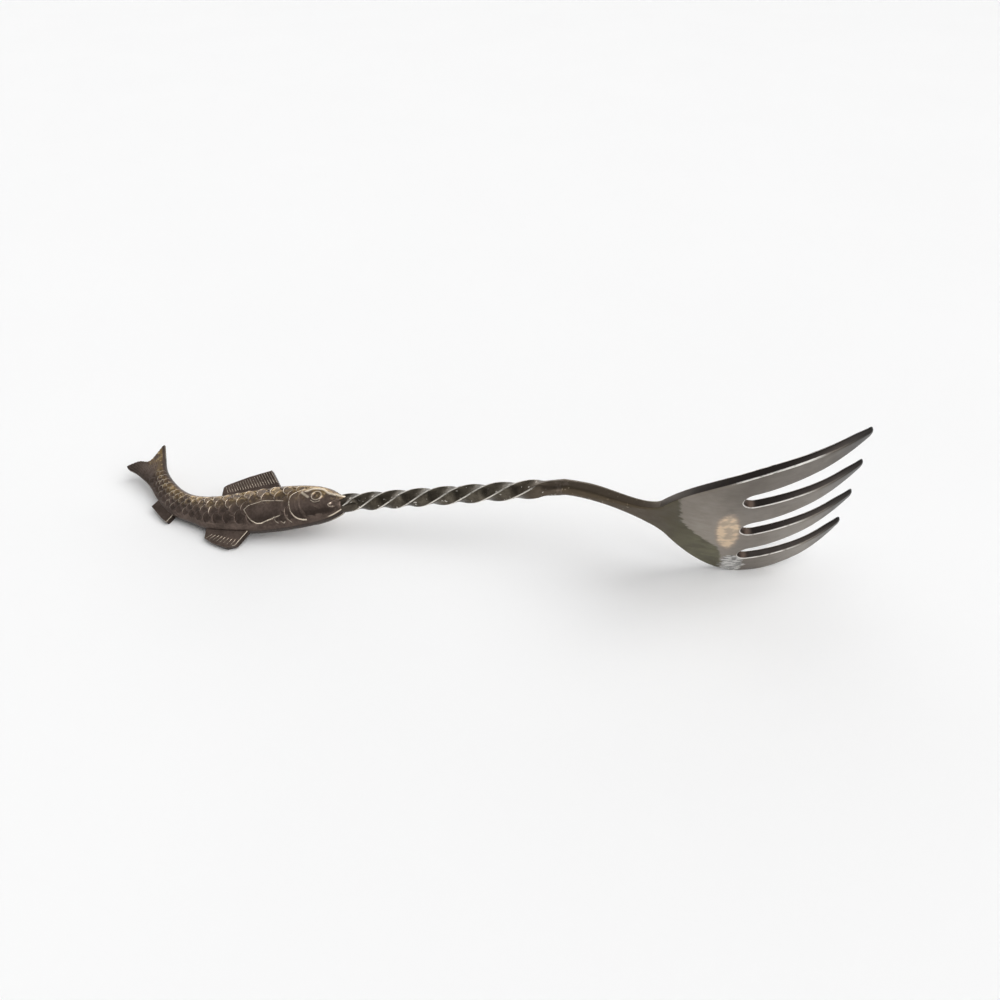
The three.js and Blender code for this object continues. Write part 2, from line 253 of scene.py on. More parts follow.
def rounded_plate(outline, place, thickness, corner, spacing):
    """Points, faces and a rim mask of a plate. place takes x, y and the height off its middle."""
    step = np.roll(outline, -1, 0) - np.roll(outline, 1, 0)
    inward = np.stack([-step[:, 1], step[:, 0]], 1) / np.linalg.norm(step, axis=1)[:, None]
    radius = corner(outline)[:, None]
    count = len(outline)
    points = []
    rim = []
    for side in (1, -1):
        for k in range(EDGE_STEPS + 1):
            turn = k / EDGE_STEPS * math.pi / 2
            ring = outline + inward * radius * (1 - math.cos(turn))
            depth = thickness(ring) / 2 - radius[:, 0] * (1 - math.sin(turn))
            points.append(place(ring, side * depth))
            rim.append(np.full(count, 1 - k / EDGE_STEPS))
    inner, triangles = fill(outline + inward * radius, spacing)
    faces = []
    rings = EDGE_STEPS + 1
    for side in (0, 1):
        start = side * rings * count
        for k in range(EDGE_STEPS):
            faces += ring_strip(start + k * count, start + (k + 1) * count, count)
    faces += ring_strip(0, rings * count, count)
    total = 2 * rings * count
    for side, sign in enumerate((1, -1)):
        last = side * rings * count + EDGE_STEPS * count
        spare = total - count
        points.append(place(inner[count:], sign * thickness(inner[count:]) / 2))
        rim.append(np.zeros(len(inner) - count))
        faces += [[i + (last if i < count else spare) for i in face] for face in triangles]
        total += len(inner) - count
    return np.vstack(points), faces, np.concatenate(rim)


# %% [markdown]
# The head is one stamped sheet, bent only along its length: its back falls from the neck to a
# low line and climbs to the tips. A flat plate could be bent with a modifier, but two Bezier
# curves give the back itself, and the plate is simply lifted onto them.

# %% Side view of the head
HEAD_LENGTH = 50.4
BOWL_AT = 29
BOWL_DROP = 11.1
TIP_RISE = 7.6
NECK_WIDTH = 2.85
NECK_DEPTH = 2.95
BLADE_THICKNESS = 1.55
TIP_THICKNESS = 1.4
POINT_THICKNESS = 1.05
POINT_LENGTH = 4
TIP_FLICK = 0.9
FLICK_LENGTH = 9
THINNING_START = 4.5
NECK_RUN = 9.5
NECK_FALL = 1.95
HEEL_SWEEP = 9.5
TINE_SWEEP = 6.5
TIP_RUN = 6.8
TIP_CLIMB = 4.6
WAIST_AT = 17.5
TINE_LENGTH = 20.2
BACK_STEPS = 80

neck_x = shank_length
tip_x = neck_x + HEAD_LENGTH
root_x = tip_x - TINE_LENGTH
bowl_x = neck_x + BOWL_AT
waist_x = neck_x + WAIST_AT
tip_y = TIP_RISE - BOWL_DROP
heel = bezier(
    (neck_x, -NECK_DEPTH / 2),
    (neck_x + NECK_RUN, -NECK_DEPTH / 2 - NECK_FALL),
    (bowl_x - HEEL_SWEEP, -BOWL_DROP),
    (bowl_x, -BOWL_DROP),
    steps=BACK_STEPS,
)
tines = bezier(
    (bowl_x, -BOWL_DROP),
    (bowl_x + TINE_SWEEP, -BOWL_DROP),
    (tip_x - TIP_RUN, tip_y - TIP_CLIMB),
    (tip_x, tip_y),
    steps=BACK_STEPS,
)
head_back = joined(heel, tines)
print("head", HEAD_LENGTH, "mm long, its back", BOWL_DROP, "mm below the shank's axis")


def head_thickness(plan):
    x = plan[:, 0]
    thinning = smoothstep(x, neck_x + THINNING_START, waist_x)
    neck_to_blade = NECK_DEPTH + (BLADE_THICKNESS - NECK_DEPTH) * thinning
    tapered = neck_to_blade - (BLADE_THICKNESS - TIP_THICKNESS) * smoothstep(x, root_x, tip_x)
    return tapered - (TIP_THICKNESS - POINT_THICKNESS) * smoothstep(x, tip_x - POINT_LENGTH, tip_x)


def place_on_head(plan, height):
    back = np.interp(plan[:, 0], head_back[:, 0], head_back[:, 1])
    # The step is half done at the tips, so twice of it lifts them by the whole flick.
    back += 2 * TIP_FLICK * smoothstep(plan[:, 0], tip_x - FLICK_LENGTH, tip_x + FLICK_LENGTH)
    return np.stack([plan[:, 0], back + head_thickness(plan) / 2 + height, plan[:, 1]], 1)


# %% [markdown]
# Seen from above the head is a spade with four tines. The stamped blank is symmetrical, so half
# of its outline is drawn, curve after curve from the neck to the middle slot, and mirrored.

# %% Plan of the head
TINE_PITCH = 10.55
INNER_TINE_WIDTH = 6.0
OUTER_TINE_WIDTH = 6.5
TIP_RADIUS = 0.8
OUTER_TIP_SETBACK = 0.45
FLARE_START = 6.0
NECK_LAP = 1.6  # the neck's round end runs on under the film of solder
WAIST_WIDTH = 11
WAIST_SLOPE = 1.83
WIDEST_AT = 36.5
FLARE_SWEEP = 5
WAIST_SWEEP_IN = 1.6
WAIST_SWEEP_OUT = 3.5
SHOULDER_SWEEP = 9.5
SIDE_SWEEP = 6
TIP_SWEEP = 4
TIP_BOW = 1.9

inner_centre = TINE_PITCH / 2
outer_centre = 1.5 * TINE_PITCH
head_half = outer_centre + OUTER_TINE_WIDTH / 2
middle_slot = inner_centre - INNER_TINE_WIDTH / 2
slot_inner = inner_centre + INNER_TINE_WIDTH / 2
slot_outer = outer_centre - OUTER_TINE_WIDTH / 2
side_slot = (slot_outer - slot_inner) / 2
inner_tip = tip_x - TIP_RADIUS
outer_tip = inner_tip - OUTER_TIP_SETBACK
mid_tine = (root_x + tip_x) / 2
flare_x = neck_x + FLARE_START
neck_end = neck_x - NECK_LAP + NECK_WIDTH / 2
widest_x = neck_x + WIDEST_AT
waist_half = WAIST_WIDTH / 2
half_plan = joined(
    arc((neck_end, 0), NECK_WIDTH / 2, 180, 90),
    bezier((neck_end, NECK_WIDTH / 2), (flare_x, NECK_WIDTH / 2), steps=24),
    bezier(
        (flare_x, NECK_WIDTH / 2),
        (flare_x + FLARE_SWEEP, NECK_WIDTH / 2),
        (waist_x - WAIST_SWEEP_IN, waist_half - WAIST_SWEEP_IN * WAIST_SLOPE),
        (waist_x, waist_half),
        steps=48,
    ),
    bezier(
        (waist_x, waist_half),
        (waist_x + WAIST_SWEEP_OUT, waist_half + WAIST_SWEEP_OUT * WAIST_SLOPE),
        (widest_x - SHOULDER_SWEEP, head_half),
        (widest_x, head_half),
        steps=72,
    ),
    bezier(
        (widest_x, head_half),
        (widest_x + SIDE_SWEEP, head_half),
        (outer_tip - TIP_SWEEP, outer_centre + TIP_RADIUS + TIP_BOW),
        (outer_tip, outer_centre + TIP_RADIUS),
        steps=48,
    ),
    arc((outer_tip, outer_centre), TIP_RADIUS, 90, -90),
    bezier((outer_tip, outer_centre - TIP_RADIUS), (root_x + side_slot, slot_outer), steps=60),
    arc((root_x + side_slot, (slot_inner + slot_outer) / 2), side_slot, 90, 270, steps=32),
    bezier(
        (root_x + side_slot, slot_inner),
        (mid_tine, slot_inner),
        (inner_tip, inner_centre + TIP_RADIUS),
        steps=60,
    ),
    arc((inner_tip, inner_centre), TIP_RADIUS, 90, -90),
    bezier(
        (inner_tip, inner_centre - TIP_RADIUS),
        (mid_tine, middle_slot),
        (root_x + middle_slot, middle_slot),
        steps=60,
    ),
    arc((root_x + middle_slot, 0), middle_slot, 90, 180),
)
head_plan = np.vstack([half_plan, (half_plan * (1, -1))[-2:0:-1]])[::-1]
print("plan of the head", len(head_plan), "points,", round(2 * head_half, 1), "mm wide")

# %% [markdown]
# The corners of the plate are nearly round at the neck, which was drawn out of the same sheet,
# and almost sharp at the blade, where the die cut it.

# %% The head
NECK_CORNER = 1.3
BLADE_CORNER = 0.28
POINT_CORNER = 0.40
HEAD_SPACING = 0.7


def head_corner(plan):
    x = plan[:, 0]
    neck_to_blade = NECK_CORNER + (BLADE_CORNER - NECK_CORNER) * smoothstep(x, neck_x, waist_x)
    return neck_to_blade + (POINT_CORNER - BLADE_CORNER) * smoothstep(x, root_x, tip_x)


head_points, head_faces, head_rim = rounded_plate(
    head_plan, place_on_head, head_thickness, head_corner, HEAD_SPACING
)
fork_head = new_piece("fork_head_plate", head_points, head_faces, rim=head_rim)

# %% [markdown]
# Shaders and Geometry Nodes are both sums on sockets. One small class wraps a socket, so that
# a formula reads as a formula, and every operator adds its Math node to the tree.

# %% Sums on sockets
class Wire:
    def __init__(self, socket):
        self.socket = socket
        self.graph = Graph(socket.id_data)

    def math(self, operation, *values):
        node = self.graph.add("ShaderNodeMath", {"operation": operation}, dict(enumerate(values)))
        return Wire(node.outputs[0])

    def __add__(self, other):
        return self.math("ADD", self, other)

    def __radd__(self, other):
        return self.math("ADD", other, self)

    def __sub__(self, other):
        return self.math("SUBTRACT", self, other)

    def __rsub__(self, other):
        return self.math("SUBTRACT", other, self)

    def __mul__(self, other):
        return self.math("MULTIPLY", self, other)

    def __rmul__(self, other):
        return self.math("MULTIPLY", other, self)

    def __truediv__(self, other):
        return self.math("DIVIDE", self, other)

    def __rtruediv__(self, other):
        return self.math("DIVIDE", other, self)

    def __pow__(self, other):
        return self.math("POWER", self, other)

    def __abs__(self):
        return self.math("ABSOLUTE", self)

    def call(self, operation):
        return self.math(operation, self)

    def step(self, low, high):
        """0 below low and 1 above high, with a smooth climb between."""
        settings = {"interpolation_type": "SMOOTHSTEP"}
        sockets = {"Value": self, "From Min": low, "From Max": high}
        return self.graph.wire("ShaderNodeMapRange", settings, sockets, output="Result")


class Graph:
    def __init__(self, tree):
        self.tree = tree

    def add(self, kind, settings=None, sockets=None):
        """A new node. Its settings come first, because they decide which sockets it has."""
        node = self.tree.nodes.new(kind)
        for key, value in (settings or {}).items():
            setattr(node, key, value)
        self.plug(node, sockets or {})
        return node

    def plug(self, node, sockets):
        """Link each wire to its socket, and set each plain value there."""
        for key, value in sockets.items():
            if isinstance(value, Wire):
                self.tree.links.new(value.socket, node.inputs[key])
            else:
                node.inputs[key].default_value = value

    def wire(self, kind, settings=None, sockets=None, output=0):
        return Wire(self.add(kind, settings, sockets).outputs[output])

    def split(self, vector):
        """The three parts of a vector."""
        node = self.add("ShaderNodeSeparateXYZ", None, {"Vector": vector})
        return [Wire(socket) for socket in node.outputs]

    def dot(self, first, second):
        sockets = {0: first, 1: second}
        settings = {"operation": "DOT_PRODUCT"}
        return self.wire("ShaderNodeVectorMath", settings, sockets, output="Value")


# %% [markdown]
# A Geometry Nodes tree is run once and its result kept as a plain mesh, because only plain
# meshes are exported. Each tree has named inputs for its sizes.

# %% Running a tree
def new_tree(name, inputs):
    tree = bpy.data.node_groups.new(name, "GeometryNodeTree")
    tree.interface.new_socket("Geometry", in_out="INPUT", socket_type="NodeSocketGeometry")
    for title, value in inputs.items():
        kind = "NodeSocketObject" if isinstance(value, bpy.types.Object) else "NodeSocketFloat"
        tree.interface.new_socket(title, in_out="INPUT", socket_type=kind)
    tree.interface.new_socket("Geometry", in_out="OUTPUT", socket_type="NodeSocketGeometry")
    graph = Graph(tree)
    entry = graph.add("NodeGroupInput")
    return graph, {socket.name: Wire(socket) for socket in entry.outputs if socket.name}


def store(graph, geometry, name, value):
    """Keep a number on each point of a tree's geometry."""
    settings = {"data_type": "FLOAT", "domain": "POINT"}
    sockets = {"Geometry": geometry, "Name": name, "Value": value}
    return graph.wire("GeometryNodeStoreNamedAttribute", settings, sockets)


def run_tree(name, graph, geometry, inputs, start=None, material=None):
    """Finish the tree, run it on the start mesh and return the plain result."""
    whole = graph.wire("GeometryNodeRealizeInstances", None, {"Geometry": geometry})
    dressed = graph.wire("GeometryNodeSetMaterial", None, {"Geometry": whole, "Material": material})
    graph.add("NodeGroupOutput", None, {"Geometry": dressed})
    host = put_in_scene(name + "_host", start or bpy.data.meshes.new(name + "_start"))
    modifier = host.modifiers.new(name, "NODES")
    modifier.node_group = graph.tree
    for socket in graph.tree.interface.items_tree:
        if socket.in_out == "INPUT" and socket.name in inputs:
            modifier[socket.identifier] = inputs[socket.name]
    depsgraph = bpy.context.evaluated_depsgraph_get()
    mesh = bpy.data.meshes.new_from_object(host.evaluated_get(depsgraph))
    mesh.name = name
    bpy.data.objects.remove(host)
    print("tree of", name, len(graph.tree.nodes), "nodes")
    return mesh


# %% [markdown]
# Old silver plate is a bright metal under a thin brown skin. Each finish starts from the same
# few moves: read where a point lies on the fork, make clouds of noise there, and mix colours.

# %% Moves that the finishes share
def new_finish(name):
    material = bpy.data.materials.new(name)
    material.use_nodes = True
    graph = Graph(material.node_tree)
    shader = material.node_tree.nodes["Principled BSDF"]
    return material, graph, shader


def finish_off(material, graph, shader, sockets):
    """Plug the last wires into the shader."""
    graph.plug(shader, sockets)
    print(material.name, len(graph.tree.nodes), "nodes")
    return material


def attribute(graph, name, output="Fac"):
    return graph.wire("ShaderNodeAttribute", {"attribute_name": name}, output=output)


def fork_axes(graph):
    return graph.split(attribute(graph, "fork_mm", "Vector"))


def clouds(graph, size_mm, detail=4.0, roughness=0.55, stretch=(1, 1, 1)):
    """Noise with lumps of about the given size, from 0 to 1."""
    coordinates = graph.wire("ShaderNodeTexCoord", output="Object")
    mapped = graph.wire("ShaderNodeMapping", None, {"Vector": coordinates, "Scale": stretch})
    grain = {"Scale": 1 / (size_mm * MM), "Detail": detail, "Roughness": roughness}
    return graph.wire("ShaderNodeTexNoise", None, {"Vector": mapped, **grain})


def mix(graph, share, first, second):
    sockets = {0: share, 6: first, 7: second}
    return graph.wire("ShaderNodeMix", {"data_type": "RGBA"}, sockets, output=2)


def bump(graph, height, depth_mm):
    sockets = {"Height": height, "Distance": depth_mm * MM, "Strength": 1.0}
    return graph.wire("ShaderNodeBump", None, sockets, output="Normal")


def rgb(red, green, blue):
    return (red, green, blue, 1)


# %% [markdown]
# The head is the brightest part: satin plate, warm grey, with painted shade that darkens it
# towards the tines and the upper edge. One picture of it could be painted and wrapped round, but
# layers of noise that are placed in millimetres need no unwrapping and stay sharp close up.

# %% Satin plate
SATIN = (rgb(0.37, 0.33, 0.285), rgb(0.29, 0.255, 0.215))
# The dark colour and the two amounts below are painted shade on the tines and the upper edge.
PAINTED_HEAD_SHADE = rgb(0.03, 0.024, 0.02)
TINE_SHADE = 0.38
UPPER_EDGE_SHADE = 0.3


def satin_layer(graph, x, z, broad, fine):
    """The plate's colour with painted shade over it, and how far it is tarnished."""
    tarnish = (broad * 0.7 + fine * 0.3).step(0.35, 0.68)
    colour = mix(graph, tarnish, *SATIN)
    # Painted shade: darker towards the tines and towards the upper edge.
    shade_at_tines = TINE_SHADE * x.step(root_x - 8, root_x + 2)
    shade_at_upper_edge = UPPER_EDGE_SHADE * z.step(-2, 14)
    painted_shade = 1 - (1 - shade_at_tines) * (1 - shade_at_upper_edge)
    return mix(graph, painted_shade, colour, PAINTED_HEAD_SHADE), tarnish


# %% [markdown]
# The back of the heel carries a painted reflection of the shadowed floor, olive in tone, and its
# front edge runs slantwise across the head to the lower rim. Noise frays that edge.

# %% Painted olive reflection on the heel
# The olive colours are a painted reflection of the shadowed floor.
OLIVE_EDGE = 64.0
OLIVE_REACH = 6.8
OLIVE_TURN = (-9.5, 3.5)
OLIVE_FRAY = 2.4
OLIVE = (rgb(0.115, 0.108, 0.062), rgb(0.175, 0.165, 0.098))
OLIVE_CLOUD = rgb(0.08, 0.074, 0.043)
OLIVE_SHADE = rgb(0.055, 0.048, 0.03)


def painted_olive_reflection(graph, colour, x, z, fine, on_back):
    """The colour with the painted olive reflection over it, darker towards the top, and where that
    lies.
    """
    edge = OLIVE_EDGE + OLIVE_REACH * (1 - z.step(*OLIVE_TURN)) + (fine - 0.5) * OLIVE_FRAY
    olive_reflection = (edge - x).step(-0.2, 0.5) * on_back
    tone = mix(graph, fine.step(0.3, 0.7), *OLIVE)
    tone = mix(graph, clouds(graph, 3).step(0.45, 0.65) * 0.7, tone, OLIVE_CLOUD)
    tone = mix(graph, z.step(-7, 3) * 0.6, tone, OLIVE_SHADE)
    return mix(graph, olive_reflection * 0.9, colour, tone), olive_reflection


# %% [markdown]
# Two spots on the back are worn where the fork has rested: one is rubbed through to yellow base
# metal, and one by the lower rim is scratched bare. Both are ovals with a ragged edge.

# %% Worn and bare spots
WORN_SPOT = (71.6, -0.4)
WORN_SIZE = (2.1, 7.1)
WORN = (rgb(0.80, 0.635, 0.455), rgb(0.52, 0.42, 0.325))
WORN_RIM = rgb(0.37, 0.28, 0.235)
BARE_SPOT = (72.8, -14.2)
BARE_SIZE = (2.4, 4.4)
BARE = (rgb(0.19, 0.185, 0.18), rgb(0.76, 0.75, 0.73))


def oval(x, z, centre, size):
    """Distance from an oval's middle, 1 on its rim."""
    return (((x - centre[0]) / size[0]) ** 2 + ((z - centre[1]) / size[1]) ** 2).call("SQRT")


def worn_layer(graph, colour, x, z, broad, fine, on_back):
    out = oval(x, z, WORN_SPOT, WORN_SIZE) + (fine - 0.5) * 0.5 + (broad - 0.5) * 0.6
    wear_and_sheen = (1 - out.step(0.7, 1.1)) * on_back
    mottle = (clouds(graph, 2.2, detail=2) * 0.6 + fine * 0.4).step(0.42, 0.58)
    tone = mix(graph, mottle, *WORN)
    tone = mix(graph, out.step(0.65, 0.95) * 0.7, tone, WORN_RIM)
    return mix(graph, wear_and_sheen * 0.9, colour, tone), wear_and_sheen


def bare_layer(graph, colour, x, z, fine, speck, on_back):
    out = oval(x, z, BARE_SPOT, BARE_SIZE) + (fine - 0.5) * 1.6
    bare = (1 - out.step(0.75, 1.0)) * on_back
    tone = mix(graph, speck.step(0.38, 0.58), *BARE)
    return mix(graph, bare * 0.9, colour, tone), bare


# %% [markdown]
# The neck is browned by the heat of soldering and carries painted glints, small bright flecks.
# The side walls of the plate are dark, the corners between the tines near their roots carry a
# painted highlight, the tips are darkened with painted shade and the roots of the slots are
# stained. The mask of the plate's rim tells wall from corner.

# %% Neck, walls, corners and tips
NECK_BROWN = (rgb(0.13, 0.098, 0.067), rgb(0.075, 0.056, 0.039))
BROWN_FADE = (14, 26)  # millimetres from the end of the neck
GLINT_FLECK_FADE = (10, 16)
GLINT_FLECK = rgb(0.42, 0.35, 0.25)
WALL = rgb(0.032, 0.027, 0.025)
CORNER_HIGHLIGHT = rgb(0.92, 0.89, 0.84)
CORNER_HIGHLIGHT_FROM = (-3, 0)  # millimetres from the roots of the tines
CORNER_HIGHLIGHT_TO = (8, 13)
TIP_SHADE_REACH = 9
PAINTED_TIP_SHADE = rgb(0.012, 0.011, 0.0105)
STAINED_ROOT = 2.6  # how far up the slots the brown stain reaches
STAIN = rgb(0.075, 0.052, 0.04)


def neck_layer(graph, colour, x, broad, fine):
    along_neck = x - neck_x
    brown = 1 - (along_neck + broad * 4).step(*BROWN_FADE)
    colour = mix(graph, brown * 0.9, colour, mix(graph, fine, *NECK_BROWN))
    # Painted glints: small bright flecks on the neck.
    glint_fleck = clouds(graph, 0.9, detail=2).step(0.62, 0.70) * (1 - along_neck.step(*GLINT_FLECK_FADE))
    return mix(graph, glint_fleck * 0.5, colour, GLINT_FLECK), brown


def rim_layer(graph, colour, x, z, rim, fine, brown):
    wall = rim.step(0.6, 0.85) * (1 - 0.8 * brown)
    colour = mix(graph, wall * 0.95, colour, WALL)
    upper_edge = z.step(slot_outer + 1.5, slot_outer + 2.5)
    corner = rim.step(0.05, 0.3) * (1 - (rim - 0.2 * upper_edge).step(0.5, 0.75))
    up_tine = x - root_x
    near_tine_roots = up_tine.step(*CORNER_HIGHLIGHT_FROM) * (1 - up_tine.step(*CORNER_HIGHLIGHT_TO))
    # Painted highlight on the corners between the tines, near their roots.
    rubbed_and_lit = corner * near_tine_roots * fine.step(0.3, 0.5)
    colour = mix(graph, rubbed_and_lit * 0.9, colour, CORNER_HIGHLIGHT)
    # Painted shade darkens the tips.
    tip_shade = x.step(tip_x - TIP_SHADE_REACH, tip_x - 1)
    colour = mix(graph, tip_shade * 0.9, colour, PAINTED_TIP_SHADE)
    in_slot = (1 - abs(z).step(slot_outer, slot_outer + 0.6)) * up_tine.step(-1, -0.4)
    stain = in_slot * rim.step(0.3, 0.8) * (1 - up_tine.step(0.6, STAINED_ROOT))
    return mix(graph, stain * 0.9, colour, STAIN)


# %% [markdown]
# Each layer goes on over the last. Tarnish, wear and the painted olive reflection also make the
# metal less shiny, and the finest noise and the scratches tilt its surface a little.

# %% Finish of the head
def head_finish():
    material, graph, shader = new_finish("worn_silver_plate")
    x, _, z = fork_axes(graph)
    rim = attribute(graph, "rim")
    normal = graph.wire("ShaderNodeNewGeometry", output="Normal")
    on_back = graph.dot(normal, -upright).step(0.1, 0.3)
    broad = clouds(graph, 9)
    fine = clouds(graph, 1.1, detail=6, roughness=0.65, stretch=(0.55, 1, 1.2))
    speck = clouds(graph, 0.6, detail=4, stretch=(0.5, 1, 1.5))
    scratch = clouds(graph, 0.5, detail=3, stretch=(0.06, 1, 0.6))
    colour, tarnish = satin_layer(graph, x, z, broad, fine)
    colour, olive_reflection = painted_olive_reflection(graph, colour, x, z, fine, on_back)
    colour, wear_and_sheen = worn_layer(graph, colour, x, z, broad, fine, on_back)
    colour, bare = bare_layer(graph, colour, x, z, fine, speck, on_back)
    colour, brown = neck_layer(graph, colour, x, broad, fine)
    colour = rim_layer(graph, colour, x, z, rim, fine, brown)
    dulled = 0.14 * tarnish + 0.08 * scratch + 0.12 * olive_reflection + 0.18 * wear_and_sheen
    return finish_off(material, graph, shader, {
        "Base Color": colour,
        "Roughness": 0.27 + dulled,
        "Metallic": 1,
        "Normal": bump(graph, fine * 0.6 + scratch * 0.4 + bare * speck * 2, 0.02),
    })


silver_plate = head_finish()
fork_head.data.materials.append(silver_plate)


# %% [markdown]
# The shank's plate has gone almost black, like gunmetal. Only its four arrises, which the hand
# touches, are rubbed back to silver and carry a painted highlight, small bright flecks of painted
# glint lie on its faces, and it turns brown at the neck like the head.

# %% Finish of the shank
BROWN_END = 9
GUNMETAL = (rgb(0.118, 0.102, 0.079), rgb(0.058, 0.049, 0.037))
SHANK_BROWN = rgb(0.115, 0.09, 0.068)
RUBBED_AND_LIT_ARRIS = rgb(0.80, 0.76, 0.69)


def shank_finish():
    material, graph, shader = new_finish("dark_gunmetal_plate")
    x, _, _ = fork_axes(graph)
    arris = attribute(graph, "arris")
    broad = clouds(graph, 4)
    fine = clouds(graph, 0.7, detail=6, roughness=0.65)
    tarnish = (broad * 0.6 + fine * 0.4).step(0.38, 0.62)
    colour = mix(graph, tarnish, *GUNMETAL)
    brown = (x + broad * 4).step(shank_length - BROWN_END, shank_length)
    colour = mix(graph, brown * 0.8, colour, SHANK_BROWN)
    # Painted glints as small bright flecks, and wear with a painted highlight on the arrises.
    glint_fleck = clouds(graph, 0.8, detail=1).step(0.68, 0.74) * 0.6
    rubbed_and_lit = arris.step(0.84, 0.98) * fine.step(0.25, 0.5)
    colour = mix(graph, rubbed_and_lit * 0.9 + (1 - rubbed_and_lit) * glint_fleck, colour, RUBBED_AND_LIT_ARRIS)
    return finish_off(material, graph, shader, {
        "Base Color": colour,
        "Roughness": 0.27 + 0.15 * tarnish,
        "Metallic": 1,
        "Normal": bump(graph, fine, 0.03),
    })


gunmetal = shank_finish()

# %% [markdown]
# The shank is a square bar, twisted cold and drawn round at the neck. A Screw or a Simple Deform
# modifier could twist a cube, but the twist loosens along this bar. So a cylinder's points are
# moved by a formula: the section is a superellipse that turns along the bar. The tree does that
# on fields, and each of its sizes stays a named input.

# %% The twisted bar
BAR = {
    "Start": -2.2,  # inside the fish's mouth
    "End": shank_length - SEAM,
    "Side": 2.8,
    "Squareness": 9,
    "Lip Angle": math.radians(5.2),
    "Rate": 0.0561,  # turns in a millimetre, at the lips
    "Loosening": 0.0002,
    "Fade": 5.5,
    "End Radius": 1.47,
}
BAR_SIDES = 96
BAR_STEPS = 320
ARRIS_REACH = 2 ** (1 / 2 - 1 / BAR["Squareness"]) - 1


def twisted_bar():
    graph, size = new_tree("twisted_bar", BAR)
    sockets = {"Vertices": BAR_SIDES, "Side Segments": BAR_STEPS, "Radius": 1.0, "Depth": 1.0}
    blank = graph.wire("GeometryNodeMeshCylinder", None, sockets)
    px, py, pz = graph.split(graph.wire("GeometryNodeInputPosition"))
    angle = py.math("ARCTAN2", py, px)
    power = size["Squareness"]
    corner = abs(angle.call("COSINE")) ** power + abs(angle.call("SINE")) ** power
    square = size["Side"] / 2 / corner ** (1 / power)
    x = size["Start"] + (pz + 0.5) * (size["End"] - size["Start"])
    rounding = ((x - size["End"] + size["Fade"]) / size["Fade"]).step(0, 1)
    radius = square + (size["End Radius"] - square) * rounding
    turned = x * (size["Rate"] - size["Loosening"] * x)
    heading = angle + size["Lip Angle"] - turned * (2 * math.pi)
    spot = {"X": x, "Y": radius * heading.call("COSINE"), "Z": radius * heading.call("SINE")}
    moved = graph.wire("ShaderNodeCombineXYZ", None, spot)
    arris = (square / size["Side"] * 2 - 1) / ARRIS_REACH * (1 - rounding)
    marked = store(graph, blank, "arris", arris)
    bar = graph.wire("GeometryNodeSetPosition", None, {"Geometry": marked, "Position": moved})
    return run_tree("twisted_bar", graph, bar, BAR, material=gunmetal)


twisted_shank = piece_from("twisted_bar", twisted_bar())


# %% [markdown]
# The fish is one casting: two swelling flanks that meet at a blunt rim, and a forked tail. It
# could be sculpted by hand. Here it is a grid instead, laid from nose to tail and from back to
# belly, because a grid lets each line cast on the flank be written as a height over it.

# %% Outline of the fish
FISH_LENGTH = 51.8
FISH_THICKNESS = 5.6
RIM_THICKNESS = 1.2
BODY_COLUMNS = 380
TAIL_COLUMNS = 64
FLANK_ROWS = 84

# A point of the back, one of the belly and a share of the full thickness. All points are in
# hundredths of the fish's length.
STATIONS = [
    ((-1.6, 2.3), (-0.2, -2.7), 0.36),
    ((1.4, 3.3), (1.4, -4.4), 0.58),
    ((6, 6), (6.4, -6.8), 0.76),
    ((14.3, 8.1), (15.4, -8.6), 0.9),
    ((26.6, 8.7), (27, -9.8), 1),
    ((38.6, 7.9), (38.6, -9.8), 0.96),
    ((52.5, 6.6), (54.1, -7.9), 0.82),
    ((63.3, 7.7), (63.7, -4.1), 0.64),
    ((70.7, 11), (73.4, 0.2), 0.5),
    ((77.2, 16.6), (81.1, 7.3), 0.4),
    ((81.1, 22), (86.9, 14.3), 0.33),
]
UPPER_LOBE = [(83.2, 28.4), (84.7, 33.6)]
LOWER_LOBE = [(94.4, 20.3), (98.5, 22.6), (100, 24.3)]
TAIL_FORK = [(84.7, 33.6), (87.3, 28.4), (89.8, 25.7), (94.4, 26.1), (100, 24.3)]
SPAN_STEPS = 40


def fish_mm(points):
    return np.array(points, float) * (-FISH_LENGTH / 100, FISH_LENGTH / 100)


def lengths(curve):
    return np.concatenate([[0], np.cumsum(np.linalg.norm(np.diff(curve, axis=0), axis=1))])


def spread(curve, shares):
    """Points at the given shares of a curve's length."""
    at = lengths(curve)
    return np.stack([np.interp(shares * at[-1], at, column) for column in curve.T], 1)


back_curve = through(fish_mm([back for back, belly, share in STATIONS] + UPPER_LOBE), SPAN_STEPS)
belly_curve = through(fish_mm([belly for back, belly, share in STATIONS] + LOWER_LOBE), SPAN_STEPS)
body_end = (len(STATIONS) - 1) * SPAN_STEPS + 1
share_curve = through([(share, 0) for back, belly, share in STATIONS], SPAN_STEPS)[:, :1]
body = np.hstack([back_curve[:body_end], belly_curve[:body_end], share_curve])
middle_line = (body[:, :2] + body[:, 2:4]) / 2
at_body = np.linspace(0, 1, BODY_COLUMNS) * lengths(middle_line)[-1]
body = np.stack([np.interp(at_body, lengths(middle_line), column) for column in body.T], 1)
print("fish", round(at_body[-1], 1), "mm from nose to tail root along its middle")

# %% [markdown]
# A flank's points run down from the back to the belly in columns, closer together at the two
# edges, where the rim turns round. The tail is a patch between its root, its lobes and its fork.

# %% The flank as a grid
EDGE_SHARES = [0, 0.003, 0.008, 0.015, 0.024, 0.035]
FLANK_START = 0.047
flank_shares = np.linspace(FLANK_START, 1 - FLANK_START, FLANK_ROWS)
down = np.concatenate([EDGE_SHARES, flank_shares, 1 - np.array(EDGE_SHARES[::-1])])
top = body[:, None, :2]
bottom = body[:, None, 2:4]
body_grid = top + (bottom - top) * down[None, :, None]


